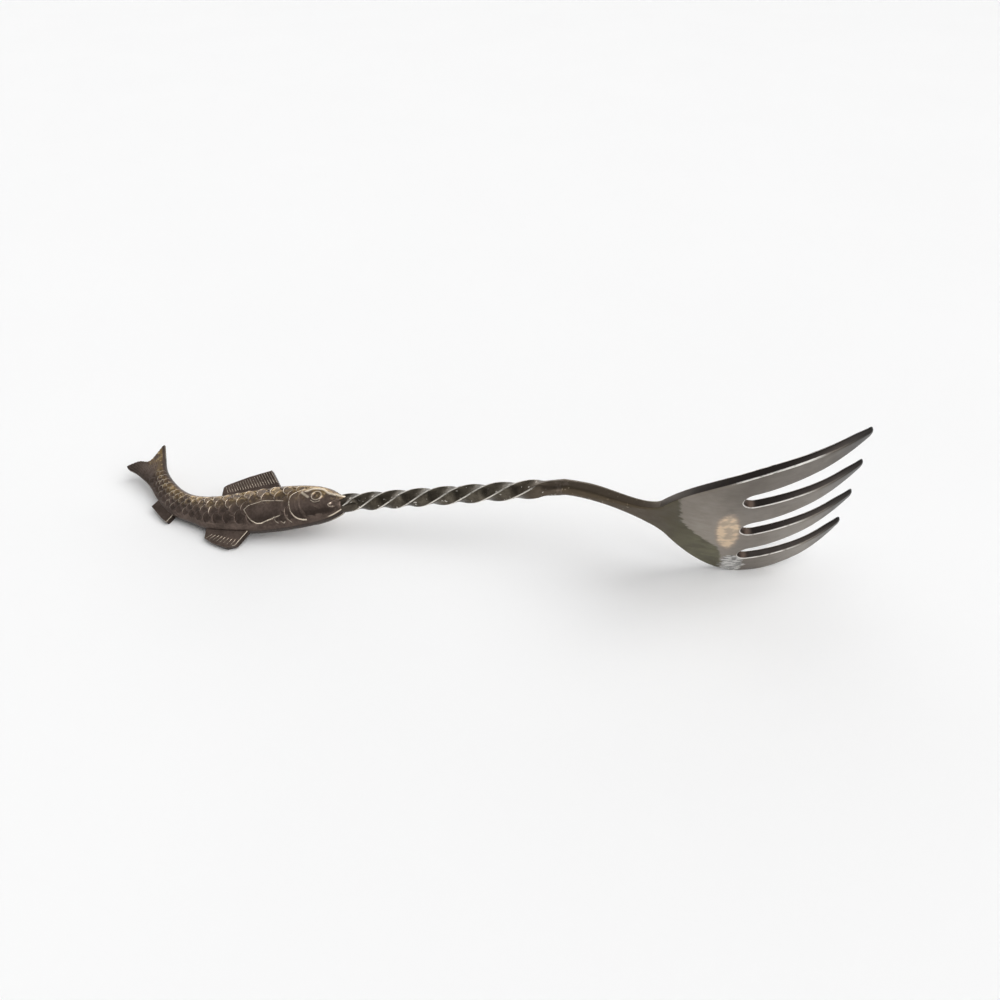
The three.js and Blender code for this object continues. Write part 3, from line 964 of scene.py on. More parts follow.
def tail_patch():
    """A patch stretched between the tail's root, its two lobes and its fork."""
    out = np.linspace(0, 1, TAIL_COLUMNS + 1)[1:]
    root = body_grid[-1]
    fork = spread(through(fish_mm(TAIL_FORK), 24), down)
    upper = spread(back_curve[body_end - 1:], out)
    lower = spread(belly_curve[body_end - 1:], out)
    u = out[:, None, None]
    t = down[None, :, None]
    corners = (1 - u) * ((1 - t) * root[0] + t * root[-1]) + u * ((1 - t) * fork[0] + t * fork[-1])
    return (1 - u) * root + u * fork + (1 - t) * upper[:, None] + t * lower[:, None] - corners


flank = np.vstack([body_grid, tail_patch()])
columns, rows = flank.shape[:2]
flank_depth = np.linalg.norm(flank[:, -1] - flank[:, 0], axis=1)
along_fish = lengths(flank[:, rows // 2])
print("flank of", columns, "by", rows, "points")

# %% [markdown]
# The flank swells from a rim of even thickness. The swell is fullest in the front half of the
# fish, and runs out flat in the tail.

# %% Swell of the flank
SWELL = 2.3
FULLNESS = 0.72
BACK_ROUND = 0.5
BELLY_ROUND = 0.3
TAIL_EDGE = 0.5
TAIL_SHARE = 0.22

in_tail = np.clip((np.arange(columns) - BODY_COLUMNS + 1) / TAIL_COLUMNS, 0, 1)
half_rim = RIM_THICKNESS / 2 + (TAIL_EDGE - RIM_THICKNESS / 2) * in_tail
root_share = body[-1, 4]
tail_shares = root_share + (TAIL_SHARE - root_share) * smoothstep(in_tail[BODY_COLUMNS:], 0, 1)
half_swell = np.concatenate([body[:, 4], tail_shares]) * FISH_THICKNESS / 2
from_middle = np.abs(2 * down - 1)
profile = (1 - from_middle**SWELL) ** FULLNESS
edge_mm = np.minimum(down, 1 - down)[None, :] * flank_depth[:, None]
half_width = half_rim[:, None] + np.maximum(half_swell - half_rim, 0)[:, None] * profile[None, :]
edge_round = np.where(down < 0.5, BACK_ROUND, BELLY_ROUND)[None, :]
off_edge = 1 - np.minimum(edge_mm / edge_round, 1)
half_width = half_width - edge_round * (1 - np.sqrt(1 - off_edge**2))
print("flank swells to", round(half_width.max(), 2), "mm off the middle")

# %% [markdown]
# The lines cast on the flank are heights above the swell: ridges along curves, plates inside
# outlines, and a groove for the mouth. What stands proud is also what years of polishing have
# rubbed bright, and it also carries a painted highlight, so each line adds to a mask of wear and
# painted highlight, and the hollows beside it stay dark.

# %% Lines cast on the flank
spots = flank.reshape(-1, 2)
relief = np.zeros((columns, rows))
wear = np.zeros((columns, rows))


def line_distance(points, line):
    """How far each point lies from a line of straight spans."""
    nearest = np.full(len(points), np.inf)
    for a, b in zip(line, line[1:]):
        span = b - a
        share = np.clip(((points - a) @ span) / (span @ span), 0, 1)
        nearest = np.minimum(nearest, np.linalg.norm(points - a - share[:, None] * span, axis=1))
    return nearest


def distance_to(line):
    return line_distance(spots, line).reshape(columns, rows)


def depth_inside(outline):
    """How far each spot lies inside an outline, negative outside it."""
    ring = np.vstack([outline, outline[:1]])
    return np.where(inside(spots, outline).reshape(columns, rows), 1, -1) * distance_to(ring)


def cast_line(points, width, height, rubbed_and_lit=1.0, steps=8):
    """A raised line, or a groove where the height is negative."""
    bell = np.exp(-(distance_to(through(points, steps)) / width) ** 2)
    relief[:] += height * bell
    # The mask holds wear together with painted highlight.
    wear[:] = np.maximum(wear, rubbed_and_lit * bell**2)


# %% [markdown]
# The fish's head is a smooth cover that stands over the body behind it. The gill's edge, the
# cheek, the brow, the hooked lip and a few curls are short lines on it, as a chaser would have
# cut them into the pattern. Their points are in the fork's millimetres.

# %% The fish's head
GILL_EDGE = [
    (-8.1, 2.4), (-9.3, 1.8), (-10.3, 0.9), (-10.5, -0.4), (-10.1, -2.0),
    (-9.5, -3.0), (-8.7, -3.6), (-7.7, -3.85), (-6.9, -3.85),
]
CHEEK_EDGE = [(-7.9, 1.7), (-8.5, 0.9), (-8.6, 0.2), (-8.3, -1.5), (-7.6, -2.6), (-6.6, -3.6)]
BROW = [(-7.2, 1.7), (-5.9, 2.3), (-4.1, 2.2), (-3.3, 1.7), (-2.5, 1.1), (-1.2, 0.8), (0.4, 0.7)]
LID = [(-6.0, -0.3), (-5.2, -0.75), (-4.2, -0.5)]
HOOK = [(-2.0, -0.9), (-2.5, -1.25), (-2.2, -1.6), (-1.6, -1.6)]
SLIT = [(-1.9, -1.0), (-1.0, -0.5), (-0.1, -0.1)]
CHEEK_BLOOM = [(-8.0, 1.4), (-6.6, 0.4)]
JAW_MARKS = [
    [(-5.3, -1.5), (-4.2, -2.1)],
    [(-4.7, -2.9), (-3.7, -2.9)],
    [(-6.5, -3.2), (-5.5, -3.2)],
]
CURLS = [
    [(-13.3, -3.2), (-13.2, -3.9), (-12.6, -4.3)],
    [(-12.1, -4.0), (-11.5, -4.3), (-11.2, -4.0)],
    [(-10.8, -3.1), (-10.7, -3.6), (-9.9, -4.2)],
]
SNOUT_SIDE = [(0.8, -5.2), (0.8, 3.6), (-4.0, 4.6)]
HEAD_RISE = 0.18

# The points of each line, its width, its height and how bright its wear and painted highlight are.
HEAD_LINES = [
    (GILL_EDGE, 0.17, 0.17, 0.95),
    (CHEEK_EDGE, 0.15, 0.12, 0.5),
    (CHEEK_BLOOM, 0.6, 0.14, 0.75),
    (BROW, 0.40, 0.25, 1.0),
    *((mark, 0.22, 0.08, 0.5) for mark in JAW_MARKS),
    *((curl, 0.14, 0.10, 0.75) for curl in CURLS),
    (LID, 0.16, 0.12, 0.9),
    (SLIT, 0.14, -0.20, 0),
    (HOOK, 0.16, 0.14, 0.9),
]

gill_curve = through(GILL_EDGE, 8)
head_depth = depth_inside(np.vstack([gill_curve, SNOUT_SIDE]))
behind_gill = smoothstep(-head_depth, 0.1, 0.5)
relief += HEAD_RISE * smoothstep(head_depth, -0.05, 0.25)
for line, width, height, rubbed_and_lit in HEAD_LINES:
    cast_line(line, width, height, rubbed_and_lit)
print(len(HEAD_LINES), "lines on the fish's head")

# %% [markdown]
# A fan of short rays fills the gill cover behind the cheek. They are set evenly between the two
# edges, each a little askew, so that only the edges have to be drawn.

# %% Rays of the gill cover
GILL_RAYS = 6
CHEEK_PART = (0.35, 1)  # where the rays begin and end along each edge
GILL_PART = (0.35, 0.85)
RAY_START = 0.35  # of the way from the cheek to the gill's edge
RAY_END = 0.55
RAY_SKEW = 0.25

cheek_points = spread(through(CHEEK_EDGE), np.linspace(*CHEEK_PART, GILL_RAYS))
edge_points = spread(gill_curve, np.linspace(*GILL_PART, GILL_RAYS))
for cheek, edge in zip(cheek_points, edge_points):
    aside = RAY_SKEW * np.array([edge[1] - cheek[1], cheek[0] - edge[0]])
    ray_start = cheek + RAY_START * (edge - cheek) - aside
    ray_end = cheek + RAY_END * (edge - cheek) + aside
    cast_line([ray_start, ray_end], 0.11, 0.07, 0.45)
print(GILL_RAYS, "rays on the gill cover")

# %% [markdown]
# The eye is a raised ring round a small boss. Both depend only on the distance from its middle.

# %% The eye
EYE = np.array([-5.0, 0.7])
EYE_RADIUS = 0.98
EYE_RING_WIDTH = 0.16
EYE_RING_HEIGHT = 0.18
EYE_DEPTH = 0.08
PUPIL_RADIUS = 0.3
PUPIL_HEIGHT = 0.12

from_eye = np.linalg.norm(flank - EYE, axis=2)
eye_ring = np.exp(-(((from_eye - EYE_RADIUS) / EYE_RING_WIDTH) ** 2))
pupil = np.exp(-((from_eye / PUPIL_RADIUS) ** 2))
in_eye = smoothstep(-from_eye, -EYE_RADIUS, -PUPIL_RADIUS)
relief += EYE_RING_HEIGHT * eye_ring + PUPIL_HEIGHT * pupil - EYE_DEPTH * in_eye
wear = np.maximum(wear, np.maximum(eye_ring**2, 0.5 * pupil))
print("eye", 2 * EYE_RADIUS, "mm across")

# %% [markdown]
# The pectoral fin lies flat against the flank behind the gill, so it is a low step in the
# casting with a raised edge, and not a tab of its own.

# %% The pectoral fin
PECTORAL = [
    (-11.8, -0.1), (-16.0, 0.2), (-19.2, -0.6), (-20.0, -1.4), (-18.9, -3.0),
    (-18.1, -3.7), (-17.1, -4.2), (-16.2, -4.2), (-12.1, -3.0),
]
PECTORAL_RISE = 0.10

pectoral_depth = depth_inside(np.array(PECTORAL))
off_pectoral = smoothstep(-pectoral_depth, -0.05, 0.3)
relief += PECTORAL_RISE * smoothstep(pectoral_depth, -0.1, 0.2)
cast_line(PECTORAL, 0.15, 0.12, 0.95, steps=1)
print("pectoral fin", len(PECTORAL), "corners")

# %% [markdown]
# Scales overlap like tiles, each row set half a step off the last. One scale is a shallow
# saucer that rises to its rim, and a spot of the flank belongs to the scale furthest forward
# that still covers it. The lattice follows the fish, so the scales shrink towards the tail.

# %% Lattice of scales
SCALE_ROWS = 2.7
SCALE_STEP = 0.39  # from one row of scales to the next, as a share of their spacing across
SCALE_REACH = 0.45
SCALE_HALF = 0.47
SCALE_RISE = 0.17
FIRST_SCALE = 6.5
PAST_THE_ROOT = 1.5  # how far the scales run on into the tail
SCALE_GLOW = 0.15
SCALE_SHADE = 0.5
EYE_SHADE = 0.6


def spacing_at(s):
    return np.interp(s, along_fish, flank_depth) / SCALE_ROWS


scale_starts = [FIRST_SCALE]
while scale_starts[-1] < along_fish[BODY_COLUMNS] + PAST_THE_ROOT:
    scale_starts.append(scale_starts[-1] + SCALE_STEP * spacing_at(scale_starts[-1]))
scale_starts = np.array(scale_starts)


def scale_field():
    """How far out each spot lies on the scale that covers it, from 0 to 1."""
    s = np.repeat(along_fish[:, None], rows, 1)
    field = np.zeros((columns, rows))
    open_spots = np.ones((columns, rows), bool)
    newest = np.searchsorted(scale_starts, s) - 1
    # A scale covers spots up to three rows behind its own.
    for back in (3, 2, 1, 0):
        index = np.clip(newest - back, 0, len(scale_starts) - 1)
        spacing = spacing_at(scale_starts[index])
        across_rows = down[None, :] * SCALE_ROWS - 0.5 * (index % 2)
        off_middle = (across_rows - np.floor(across_rows) - 0.5) * spacing
        ahead = s - scale_starts[index]
        out = np.hypot(ahead / (SCALE_REACH * spacing), off_middle / (SCALE_HALF * spacing))
        hit = open_spots & (out < 1) & (newest - back >= 0)
        field[hit] = out[hit]
        open_spots &= ~hit
    return field


off_rim = smoothstep(edge_mm, 0.5, 1.1)
scaled = behind_gill * off_pectoral * off_rim * (1 - smoothstep(in_tail, 0, 0.25))[:, None]
scale_out = scale_field()
relief += SCALE_RISE * scale_out**2 * scaled
wear = np.maximum(wear, SCALE_GLOW * smoothstep(scale_out, 0.7, 0.95) * scaled)
# Darker in the hollows of the scales and inside the eye ring: patina there, with painted shade.
hollow = SCALE_SHADE * (1 - smoothstep(scale_out, 0.3, 0.75)) * scaled
hollow = np.maximum(hollow, EYE_SHADE * in_eye * (1 - pupil))
print(len(scale_starts), "rows of scales")

# %% [markdown]
# The tail's rays spread from its root to its fork. The rows of the grid run out the same way, so
# a wave across them is enough.

# %% Rays of the tail
TAIL_RAYS = 15
TAIL_RAY_HEIGHT = 0.05

out_on_tail = smoothstep(in_tail, 0.1, 0.5)[:, None]
tail_wave = np.cos(2 * math.pi * TAIL_RAYS * down)[None, :] * out_on_tail
relief += TAIL_RAY_HEIGHT * tail_wave * smoothstep(edge_mm, 0.1, 0.4)
wear = np.maximum(wear, 0.5 * smoothstep(tail_wave, 0.5, 1))
print(TAIL_RAYS, "rays on the tail")

# %% [markdown]
# The two flanks are mirror images. A strip along the back, the tail and the belly joins them,
# so that the casting is one closed mesh.

# %% The casting
RIM_FADE = 0.35
RIM_LINE_AT = 0.12
RIM_LINE_WIDTH = 0.07
JAW_END = (2.5, 4)
BACK_EDGE_SHADE = 0.45
BELLY_EDGE_SHADE = 0.07

half_width = half_width + relief * smoothstep(edge_mm, 0.05, RIM_FADE)
rubbed_rim = np.exp(-(((edge_mm - RIM_LINE_AT) / RIM_LINE_WIDTH) ** 2)) * (down > 0.5)
jaw = 1 - smoothstep(along_fish, *JAW_END)
wear = np.maximum(wear, rubbed_rim * (0.35 + 0.55 * jaw)[:, None])
# Painted shade on the edge walls, wider along the back, and darker towards the belly side.
edge_shade_width = np.where(down < 0.5, BACK_EDGE_SHADE, BELLY_EDGE_SHADE)[None, :]
hollow = np.maximum(hollow, 1 - smoothstep(edge_mm, 0.02, edge_shade_width))
belly_side_shade = 0.5 + 0.2 * smoothstep(in_tail, 0, 0.5)[:, None]
hollow = np.maximum(hollow, belly_side_shade * smoothstep(down, 0.6, 0.95)[None, :])


def flank_points(side):
    return np.dstack([flank, side * half_width]).reshape(-1, 3)


def casting():
    number = np.arange(columns * rows).reshape(columns, rows)
    other = number + columns * rows
    quads = []
    for grid in (number, other):
        cells = [grid[:-1, :-1], grid[1:, :-1], grid[1:, 1:], grid[:-1, 1:]]
        quads += np.stack([cell.ravel() for cell in cells], 1).tolist()
    border = np.concatenate([number[:, 0], number[-1, 1:], number[-2::-1, -1], number[0, -2:0:-1]])
    far = border + columns * rows
    quads += np.stack([border, np.roll(border, -1), np.roll(far, -1), far], 1).tolist()
    return np.vstack([flank_points(1), flank_points(-1)]), quads


fish_points, fish_faces = casting()
on_back = (1 - smoothstep(down, 0.1, 0.6))[None, :] * smoothstep(edge_mm, 0.3, 0.8)
masks = {"wear": wear, "hollow": hollow, "back": on_back}
masks = {name: np.tile(values.ravel(), 2) for name, values in masks.items()}
print("casting", len(fish_faces), "faces")

# %% [markdown]
# The fish wears a brown patina over its plate. It is darkest in the hollows, where patina lies,
# and painted shade also darkens the edge walls and the belly side. A painted golden highlight
# and painted glints lie along the back, and every raised line is rubbed to pale metal with a
# painted highlight on it. The masks that the casting keeps on its points say where, so no
# picture has to be painted.

# %% Finish of the fish
PATINA = (rgb(0.185, 0.138, 0.115), rgb(0.105, 0.078, 0.065))
# The gold and glint colours are painted highlights, and the darkest colour is patina with painted
# shade.
GOLD_SHEEN = rgb(0.33, 0.226, 0.107)
GLINT = rgb(0.80, 0.60, 0.34)
DARK_PATINA_AND_SHADE = rgb(0.02, 0.015, 0.012)
RUBBED_AND_LIT_LINE = rgb(0.86, 0.75, 0.60)


def fish_finish():
    material, graph, shader = new_finish("brown_cast_patina")
    wear = attribute(graph, "wear")
    hollow = attribute(graph, "hollow")
    back = attribute(graph, "back")
    broad = clouds(graph, 4)
    fine = clouds(graph, 0.5, detail=6, roughness=0.65)
    tarnish = (broad * 0.6 + fine * 0.4).step(0.35, 0.65)
    colour = mix(graph, tarnish, *PATINA)
    # Painted highlight: golden sheen and glints along the upper back.
    gold_sheen = back * clouds(graph, 1.8, detail=3).step(0.32, 0.68)
    colour = mix(graph, gold_sheen, colour, GOLD_SHEEN)
    glint = back * clouds(graph, 0.8, detail=2).step(0.56, 0.66)
    colour = mix(graph, glint * 0.7, colour, GLINT)
    # Patina in the hollows, with painted shade on the edge walls and the belly side.
    colour = mix(graph, hollow * 0.75, colour, DARK_PATINA_AND_SHADE)
    # Wear on the raised lines, with a painted highlight.
    rubbed_and_lit = (wear + fine * 0.5 - 0.25).step(0.35, 0.85)
    colour = mix(graph, rubbed_and_lit * 0.85, colour, RUBBED_AND_LIT_LINE)
    return finish_off(material, graph, shader, {
        "Base Color": colour,
        "Roughness": 0.28 + 0.14 * tarnish - 0.05 * rubbed_and_lit,
        "Metallic": 0.95,
        "Normal": bump(graph, fine, 0.045),
    })


patina = fish_finish()
fish = new_piece("cast_fish", fish_points, fish_faces, **masks)
fish.data.materials.append(patina)

# %% [markdown]
# The fins are flat tabs of the same casting, with blunt edges. They could grow out of the
# flank's grid, but a plate of its own keeps a tab's straight edges, and its root is hidden in
# the body.

# %% The fins
FIN_THICKNESS = 1.3
FIN_CORNER = 0.14
FIN_SPACING = 0.4
FIN_STEP = 0.25
DIM_CORNER_HIGHLIGHT = 0.25  # how bright the painted highlight on a corner is away from its bright edge
WALL_SHADE = 0.8

# The corners of each tab, the part of its edge where the painted highlight is brightest and how dark
# its sides are.
FINS = {
    "dorsal_fin": (
        [(26.3, 6.6), (32.4, 16.4), (41.7, 14.3), (50.6, 11.4), (52.1, 10.4), (52.3, 5)],
        None,
        0.2,
    ),
    "anal_fin": (
        [(78.4, 8.9), (82.8, 4.2), (77, -1.4), (74.3, -3.5), (71, 1)],
        [(74.3, -3.5), (72.6, -1.2)],
        0.5,
    ),
    "ventral_fin": (
        [(56, -5.6), (55.8, -11.6), (51.7, -14.1), (45.8, -16.2), (41.9, -15.4), (36.7, -8.1)],
        [(41.9, -15.4), (36.7, -8.1)],
        0.1,
    ),
}


def fin_outline(corners):
    """The tab's outline in even steps, turning left."""
    ring = fish_mm(corners)
    parts = []
    for a, b in zip(ring, np.roll(ring, -1, 0)):
        steps = max(2, round(np.linalg.norm(b - a) / FIN_STEP))
        parts.append(a + (b - a) * np.linspace(0, 1, steps, endpoint=False)[:, None])
    outline = np.vstack(parts)
    x, y = outline.T
    turns_left = np.sum(x * np.roll(y, -1) - y * np.roll(x, -1)) > 0
    return outline if turns_left else outline[::-1]


def flat_tab(plan, height):
    return np.column_stack([plan, np.broadcast_to(height, len(plan))])


def evenly(size):
    """A size that is the same all over a plate."""
    return lambda plan: np.full(len(plan), size)


def fin(name, corners, bright_edge, shade):
    points, faces, rim = rounded_plate(
        fin_outline(corners), flat_tab, evenly(FIN_THICKNESS), evenly(FIN_CORNER), FIN_SPACING
    )
    # Painted highlight along the tab's corners, brightest on the bright edge.
    corner_highlight = np.full(len(points), DIM_CORNER_HIGHLIGHT)
    if bright_edge:
        off_edge = line_distance(points[:, :2], fish_mm(bright_edge))
        corner_highlight += (1 - DIM_CORNER_HIGHLIGHT) * (1 - smoothstep(off_edge, 0.4, 0.8))
    on_wall = smoothstep(rim, 0.6, 0.9)
    corner_line = smoothstep(rim, 0.1, 0.4) * (1 - on_wall)
    dark = np.maximum(shade, WALL_SHADE * on_wall)
    piece = new_piece(name, points, faces, wear=corner_highlight * corner_line, hollow=dark)
    piece.data.materials.append(patina)
    return piece


fins = [fin(name, *shape) for name, shape in FINS.items()]

# %% [markdown]
# The rim of each scale is a fine bright ridge, finer than the grid of the flank can hold. It is
# one small arc, set on every scale by Geometry Nodes and pressed down on the flank it lies on.
# First come the seeds: a point for each scale, with the turn and the size of its arc.

# %% Where the scale rims go
RIM_SPREAD = 66  # degrees to either side of the way to the tail
SLOPE_REACH = 3  # columns or rows to either side
RIM_INSET = 0.96
BELLY_RIM_SHADE = 0.4
GLOW_SPREAD = 0.35
UNLIT_GLOW = 0.55  # of the lower half of each rim
GLOW_SEED = 7


def on_flank(s, share, side):
    """A point of the flank, and the directions to the tail and outwards there."""
    column = np.interp(s, along_fish, np.arange(columns))
    row = np.interp(share, down, np.arange(rows))

    def point(c, r):
        c0, r0 = min(int(c), columns - 2), min(int(r), rows - 2)
        u, v = c - c0, r - r0
        solid = np.dstack([flank[c0:c0 + 2, r0:r0 + 2], side * half_width[c0:c0 + 2, r0:r0 + 2]])
        near = (1 - v) * solid[0, 0] + v * solid[0, 1]
        far = (1 - v) * solid[1, 0] + v * solid[1, 1]
        return (1 - u) * near + u * far

    here = point(column, row)
    ahead = point(min(column + SLOPE_REACH, columns - 1), row)
    behind = point(max(column - SLOPE_REACH, 0), row)
    lower = point(column, min(row + SLOPE_REACH, rows - 1))
    upper = point(column, max(row - SLOPE_REACH, 0))
    tailward = Vector(ahead - behind).normalized()
    downward = Vector(lower - upper)
    outward = tailward.cross(downward).normalized()
    if outward.z * side < 0:
        outward = -outward
    return here, tailward, outward


def scale_seeds():
    places, turns, sizes, ups, glows, heights = [], [], [], [], [], []
    chance = np.random.default_rng(GLOW_SEED)
    for i, s in enumerate(scale_starts):
        spacing = spacing_at(s)
        column = min(np.searchsorted(along_fish, s + SCALE_REACH * spacing), columns - 1)
        for j in range(math.ceil(SCALE_ROWS)):
            share = (j + 0.5 + 0.5 * (i % 2)) / SCALE_ROWS
            if share >= 1 or scaled[column, np.searchsorted(down, share)] < 0.5:
                continue
            for side in (1, -1):
                here, tailward, outward = on_flank(s, share, side)
                frame_turn = Matrix((tailward, outward.cross(tailward), outward)).transposed()
                places.append(here)
                turns.append(frame_turn.to_euler())
                half = SCALE_HALF * spacing
                sizes.append((RIM_INSET * SCALE_REACH * spacing, RIM_INSET * half, half))
                ups.append(outward)
                heights.append(here[1])
                # Painted shade: rims dim towards the belly. The random part varies from rim to rim.
                belly_rim_shade = BELLY_RIM_SHADE * smoothstep(share, 0.2, 0.8)
                glows.append(1 - belly_rim_shade - GLOW_SPREAD * chance.random())
    print(len(places), "seeds for scale rims")
    attributes = {"turn": turns, "size": sizes, "up": ups, "glow": glows, "height": heights}
    return new_mesh("scale_seeds", places, **attributes)


# %% [markdown]
# One rim is an arc of wire that thins out to its ends. Each of its points remembers its height,
# because pressing the arc down on the flank would otherwise flatten it.

# %% One scale rim
SCALE_RIM = {"Thickness": 0.06, "Proud": 0.35}
RIM_STEPS = 9
RIM_SIDES = 5
RIM_TAPER = 0.7


def rim_pattern(graph, size):
    sweep = math.radians(2 * RIM_SPREAD)
    bend = {"Resolution": RIM_STEPS, "Radius": 1.0, "Start Angle": -sweep / 2, "Sweep Angle": sweep}
    line = graph.wire("GeometryNodeCurveArc", {"mode": "RADIUS"}, bend)
    share = graph.wire("GeometryNodeSplineParameter", output="Factor")
    taper = 1 - RIM_TAPER * abs(2 * share - 1) ** 3
    section = {"Resolution": RIM_SIDES, "Radius": size["Thickness"]}
    ring = graph.wire("GeometryNodeCurvePrimitiveCircle", None, section)
    parts = {"Curve": line, "Profile Curve": ring, "Scale": taper, "Fill Caps": True}
    rim = graph.wire("GeometryNodeCurveToMesh", None, parts)
    height = graph.split(graph.wire("GeometryNodeInputPosition"))[2]
    return store(graph, rim, "lift", height + size["Thickness"] * size["Proud"])


# %% [markdown]
# The arcs are stamped on the seeds, pressed onto a plain copy of the fish and lifted again by
# the height that they remember. The upper half of each rim is brighter than the lower, a painted
# highlight.

# %% The scale rims
LIT_BAND = (-0.9, 0.5)  # where a rim turns from unlit to lit, in halves of its width


def named(graph, name, kind="FLOAT_VECTOR"):
    return graph.wire("GeometryNodeInputNamedAttribute", {"data_type": kind}, {"Name": name})


def stamp(graph, seeds, pattern):
    """Set the pattern on each seed, turned and sized by the seed's own values."""
    turn = graph.wire("FunctionNodeEulerToRotation", None, {"Euler": named(graph, "turn")})
    sockets = {"Points": seeds, "Instance": pattern, "Rotation": turn, "Scale": named(graph, "size")}
    stamped = graph.wire("GeometryNodeInstanceOnPoints", None, sockets)
    return graph.wire("GeometryNodeRealizeInstances", None, {"Geometry": stamped})


def scale_rims():
    flank_model = put_in_scene("plain_fish", new_mesh("plain_fish", fish_points, fish_faces))
    sizes = {"Flank": flank_model, **SCALE_RIM}
    graph, size = new_tree("scale_rims", sizes)
    whole = stamp(graph, size["Geometry"], rim_pattern(graph, size))
    model = {"Object": size["Flank"]}
    target = graph.wire("GeometryNodeObjectInfo", None, model, output="Geometry")
    settings = {"target_element": "FACES"}
    nearest = graph.wire("GeometryNodeProximity", settings, {0: target}, output="Position")
    half = graph.split(named(graph, "size"))[2]
    push = {0: named(graph, "up"), "Scale": named(graph, "lift", "FLOAT") * half}
    lifted = graph.wire("ShaderNodeVectorMath", {"operation": "SCALE"}, push)
    place = graph.wire("ShaderNodeVectorMath", {"operation": "ADD"}, {0: nearest, 1: lifted})
    rims = graph.wire("GeometryNodeSetPosition", None, {"Geometry": whole, "Position": place})
    level = graph.split(graph.wire("GeometryNodeInputPosition"))[1]
    # Painted highlight: the upper half of each rim is brighter.
    lit = ((level - named(graph, "height", "FLOAT")) / half).step(*LIT_BAND)
    glow = named(graph, "glow", "FLOAT") * (UNLIT_GLOW + (1 - UNLIT_GLOW) * lit)
    wear_and_sheen = store(graph, rims, "wear", glow)
    mesh = run_tree("scale_rims", graph, wear_and_sheen, sizes, start=scale_seeds(), material=patina)
    bpy.data.objects.remove(flank_model)
    return mesh


rims = piece_from("scale_rims", scale_rims())

# %% [markdown]
# The fins carry straight rays that lean back from the body. Each is a slim tapered rod, half
# sunk in the tab, and the same rod serves both sides.

# %% The fin rays
# The first and the last root, the first and the last end, the number of rays and their width.
RAYS = {
    "dorsal": ((29.0, 10.4), (49.6, 7.6), (32.7, 16.0), (51.0, 10.3), 20, 0.11),
    "ventral": ((42.0, -12.8), (52.6, -10.2), (43.8, -15.3), (55.0, -11.8), 8, 0.14),
}
RAY_HEIGHT = 0.16
RAY_SIDES = 8
RAY_RADII = {"Root": 0.5, "Tip": 0.36}
RAY_GLOW = 0.62


def ray_seeds():
    places, turns, sizes = [], [], []
    for root_a, root_b, edge_a, edge_b, count, width in RAYS.values():
        for share in np.linspace(0, 1, count):
            root, edge = fish_mm([root_a, edge_a]) * (1 - share) + fish_mm([root_b, edge_b]) * share
            reach = edge - root
            for side in (1, -1):
                places.append((*root, side * FIN_THICKNESS / 2))
                turns.append((0, 0, math.atan2(reach[1], reach[0])))
                sizes.append((np.linalg.norm(reach), width, RAY_HEIGHT))
    print(len(places), "seeds for fin rays")
    return new_mesh("ray_seeds", places, turn=turns, size=sizes)


def fin_rays():
    graph, size = new_tree("fin_rays", RAY_RADII)
    radii = {"Radius Bottom": size["Root"], "Radius Top": size["Tip"]}
    rod = graph.wire("GeometryNodeMeshCone", None, {"Vertices": RAY_SIDES, "Depth": 1.0, **radii})
    lain = {"Geometry": rod, "Rotation": (0, math.pi / 2, 0)}
    rod = graph.wire("GeometryNodeTransform", None, lain)
    wear_and_sheen = store(graph, stamp(graph, size["Geometry"], rod), "wear", RAY_GLOW)
    return run_tree("fin_rays", graph, wear_and_sheen, RAY_RADII, start=ray_seeds(), material=patina)


rays = piece_from("fin_rays", fin_rays())


# %% [markdown]
# Two films of hard solder join the shank to the lips and to the neck. Each is a turned collar,
# a little uneven, as solder is where it has run.

# %% The solder
COLLAR_SIDES = 48
COLLAR_STEPS = 6
NECK_SEAM = [(-2.1, 1.44), (-1.4, 1.49), (-0.9, 1.50), (0, 1.47), (1.0, 1.43), (2.2, 1.36)]
MOUTH_SEAM = [
    (-1.6, -0.30, 1.40), (-0.6, -0.36, 1.58), (0.4, -0.34, 1.58),
    (1.4, -0.26, 1.52), (2.4, -0.14, 1.42), (3.2, -0.04, 1.30),
]
NECK_UNEVENNESS = 0.004
MOUTH_UNEVENNESS = 0.015


def collar(name, profile, unevenness):
    """Rings round a line that is given by its places along the fork, its heights and its radii."""
    line = through(profile, COLLAR_STEPS)
    angles = np.linspace(0, 2 * math.pi, COLLAR_SIDES, endpoint=False)
    points = []
    for x, middle, radius in line:
        wobble = 1 + unevenness * np.sin(2 * angles + 1.3 * x) * np.sin(3 * angles - 0.7)
        height = middle + np.cos(angles) * radius * wobble
        aside = np.sin(angles) * radius * wobble
        points.append(np.column_stack([np.full(COLLAR_SIDES, x), height, aside]))
    faces = []
    for k in range(len(line) - 1):
        faces += ring_strip(k * COLLAR_SIDES, (k + 1) * COLLAR_SIDES, COLLAR_SIDES)
    faces.append(list(range(COLLAR_SIDES)))
    faces.append(list(range((len(line) - 1) * COLLAR_SIDES, len(line) * COLLAR_SIDES)))
    return new_piece(name, np.vstack(points), faces)


def neck_middle(x):
    """How high the middle of the neck lies at a place along the fork."""
    return place_on_head(np.array([[max(x, neck_x), 0]]), 0)[0, 1]


neck_line = [(neck_x + x, neck_middle(neck_x + x), radius) for x, radius in NECK_SEAM]
neck_seam = collar("neck_seam", neck_line, NECK_UNEVENNESS)
mouth_seam = collar("mouth_seam", MOUTH_SEAM, MOUTH_UNEVENNESS)

# %% [markdown]
# Solder has no plate over it, so it is duller than the rest. It is darker at the mouth than at
# the neck.

# %% Finish of the solder
SOLDER = (rgb(0.15, 0.12, 0.095), rgb(0.09, 0.072, 0.055))
MOUTH_SOLDER = rgb(0.06, 0.052, 0.04)
MOUTH_END = (5, 10)


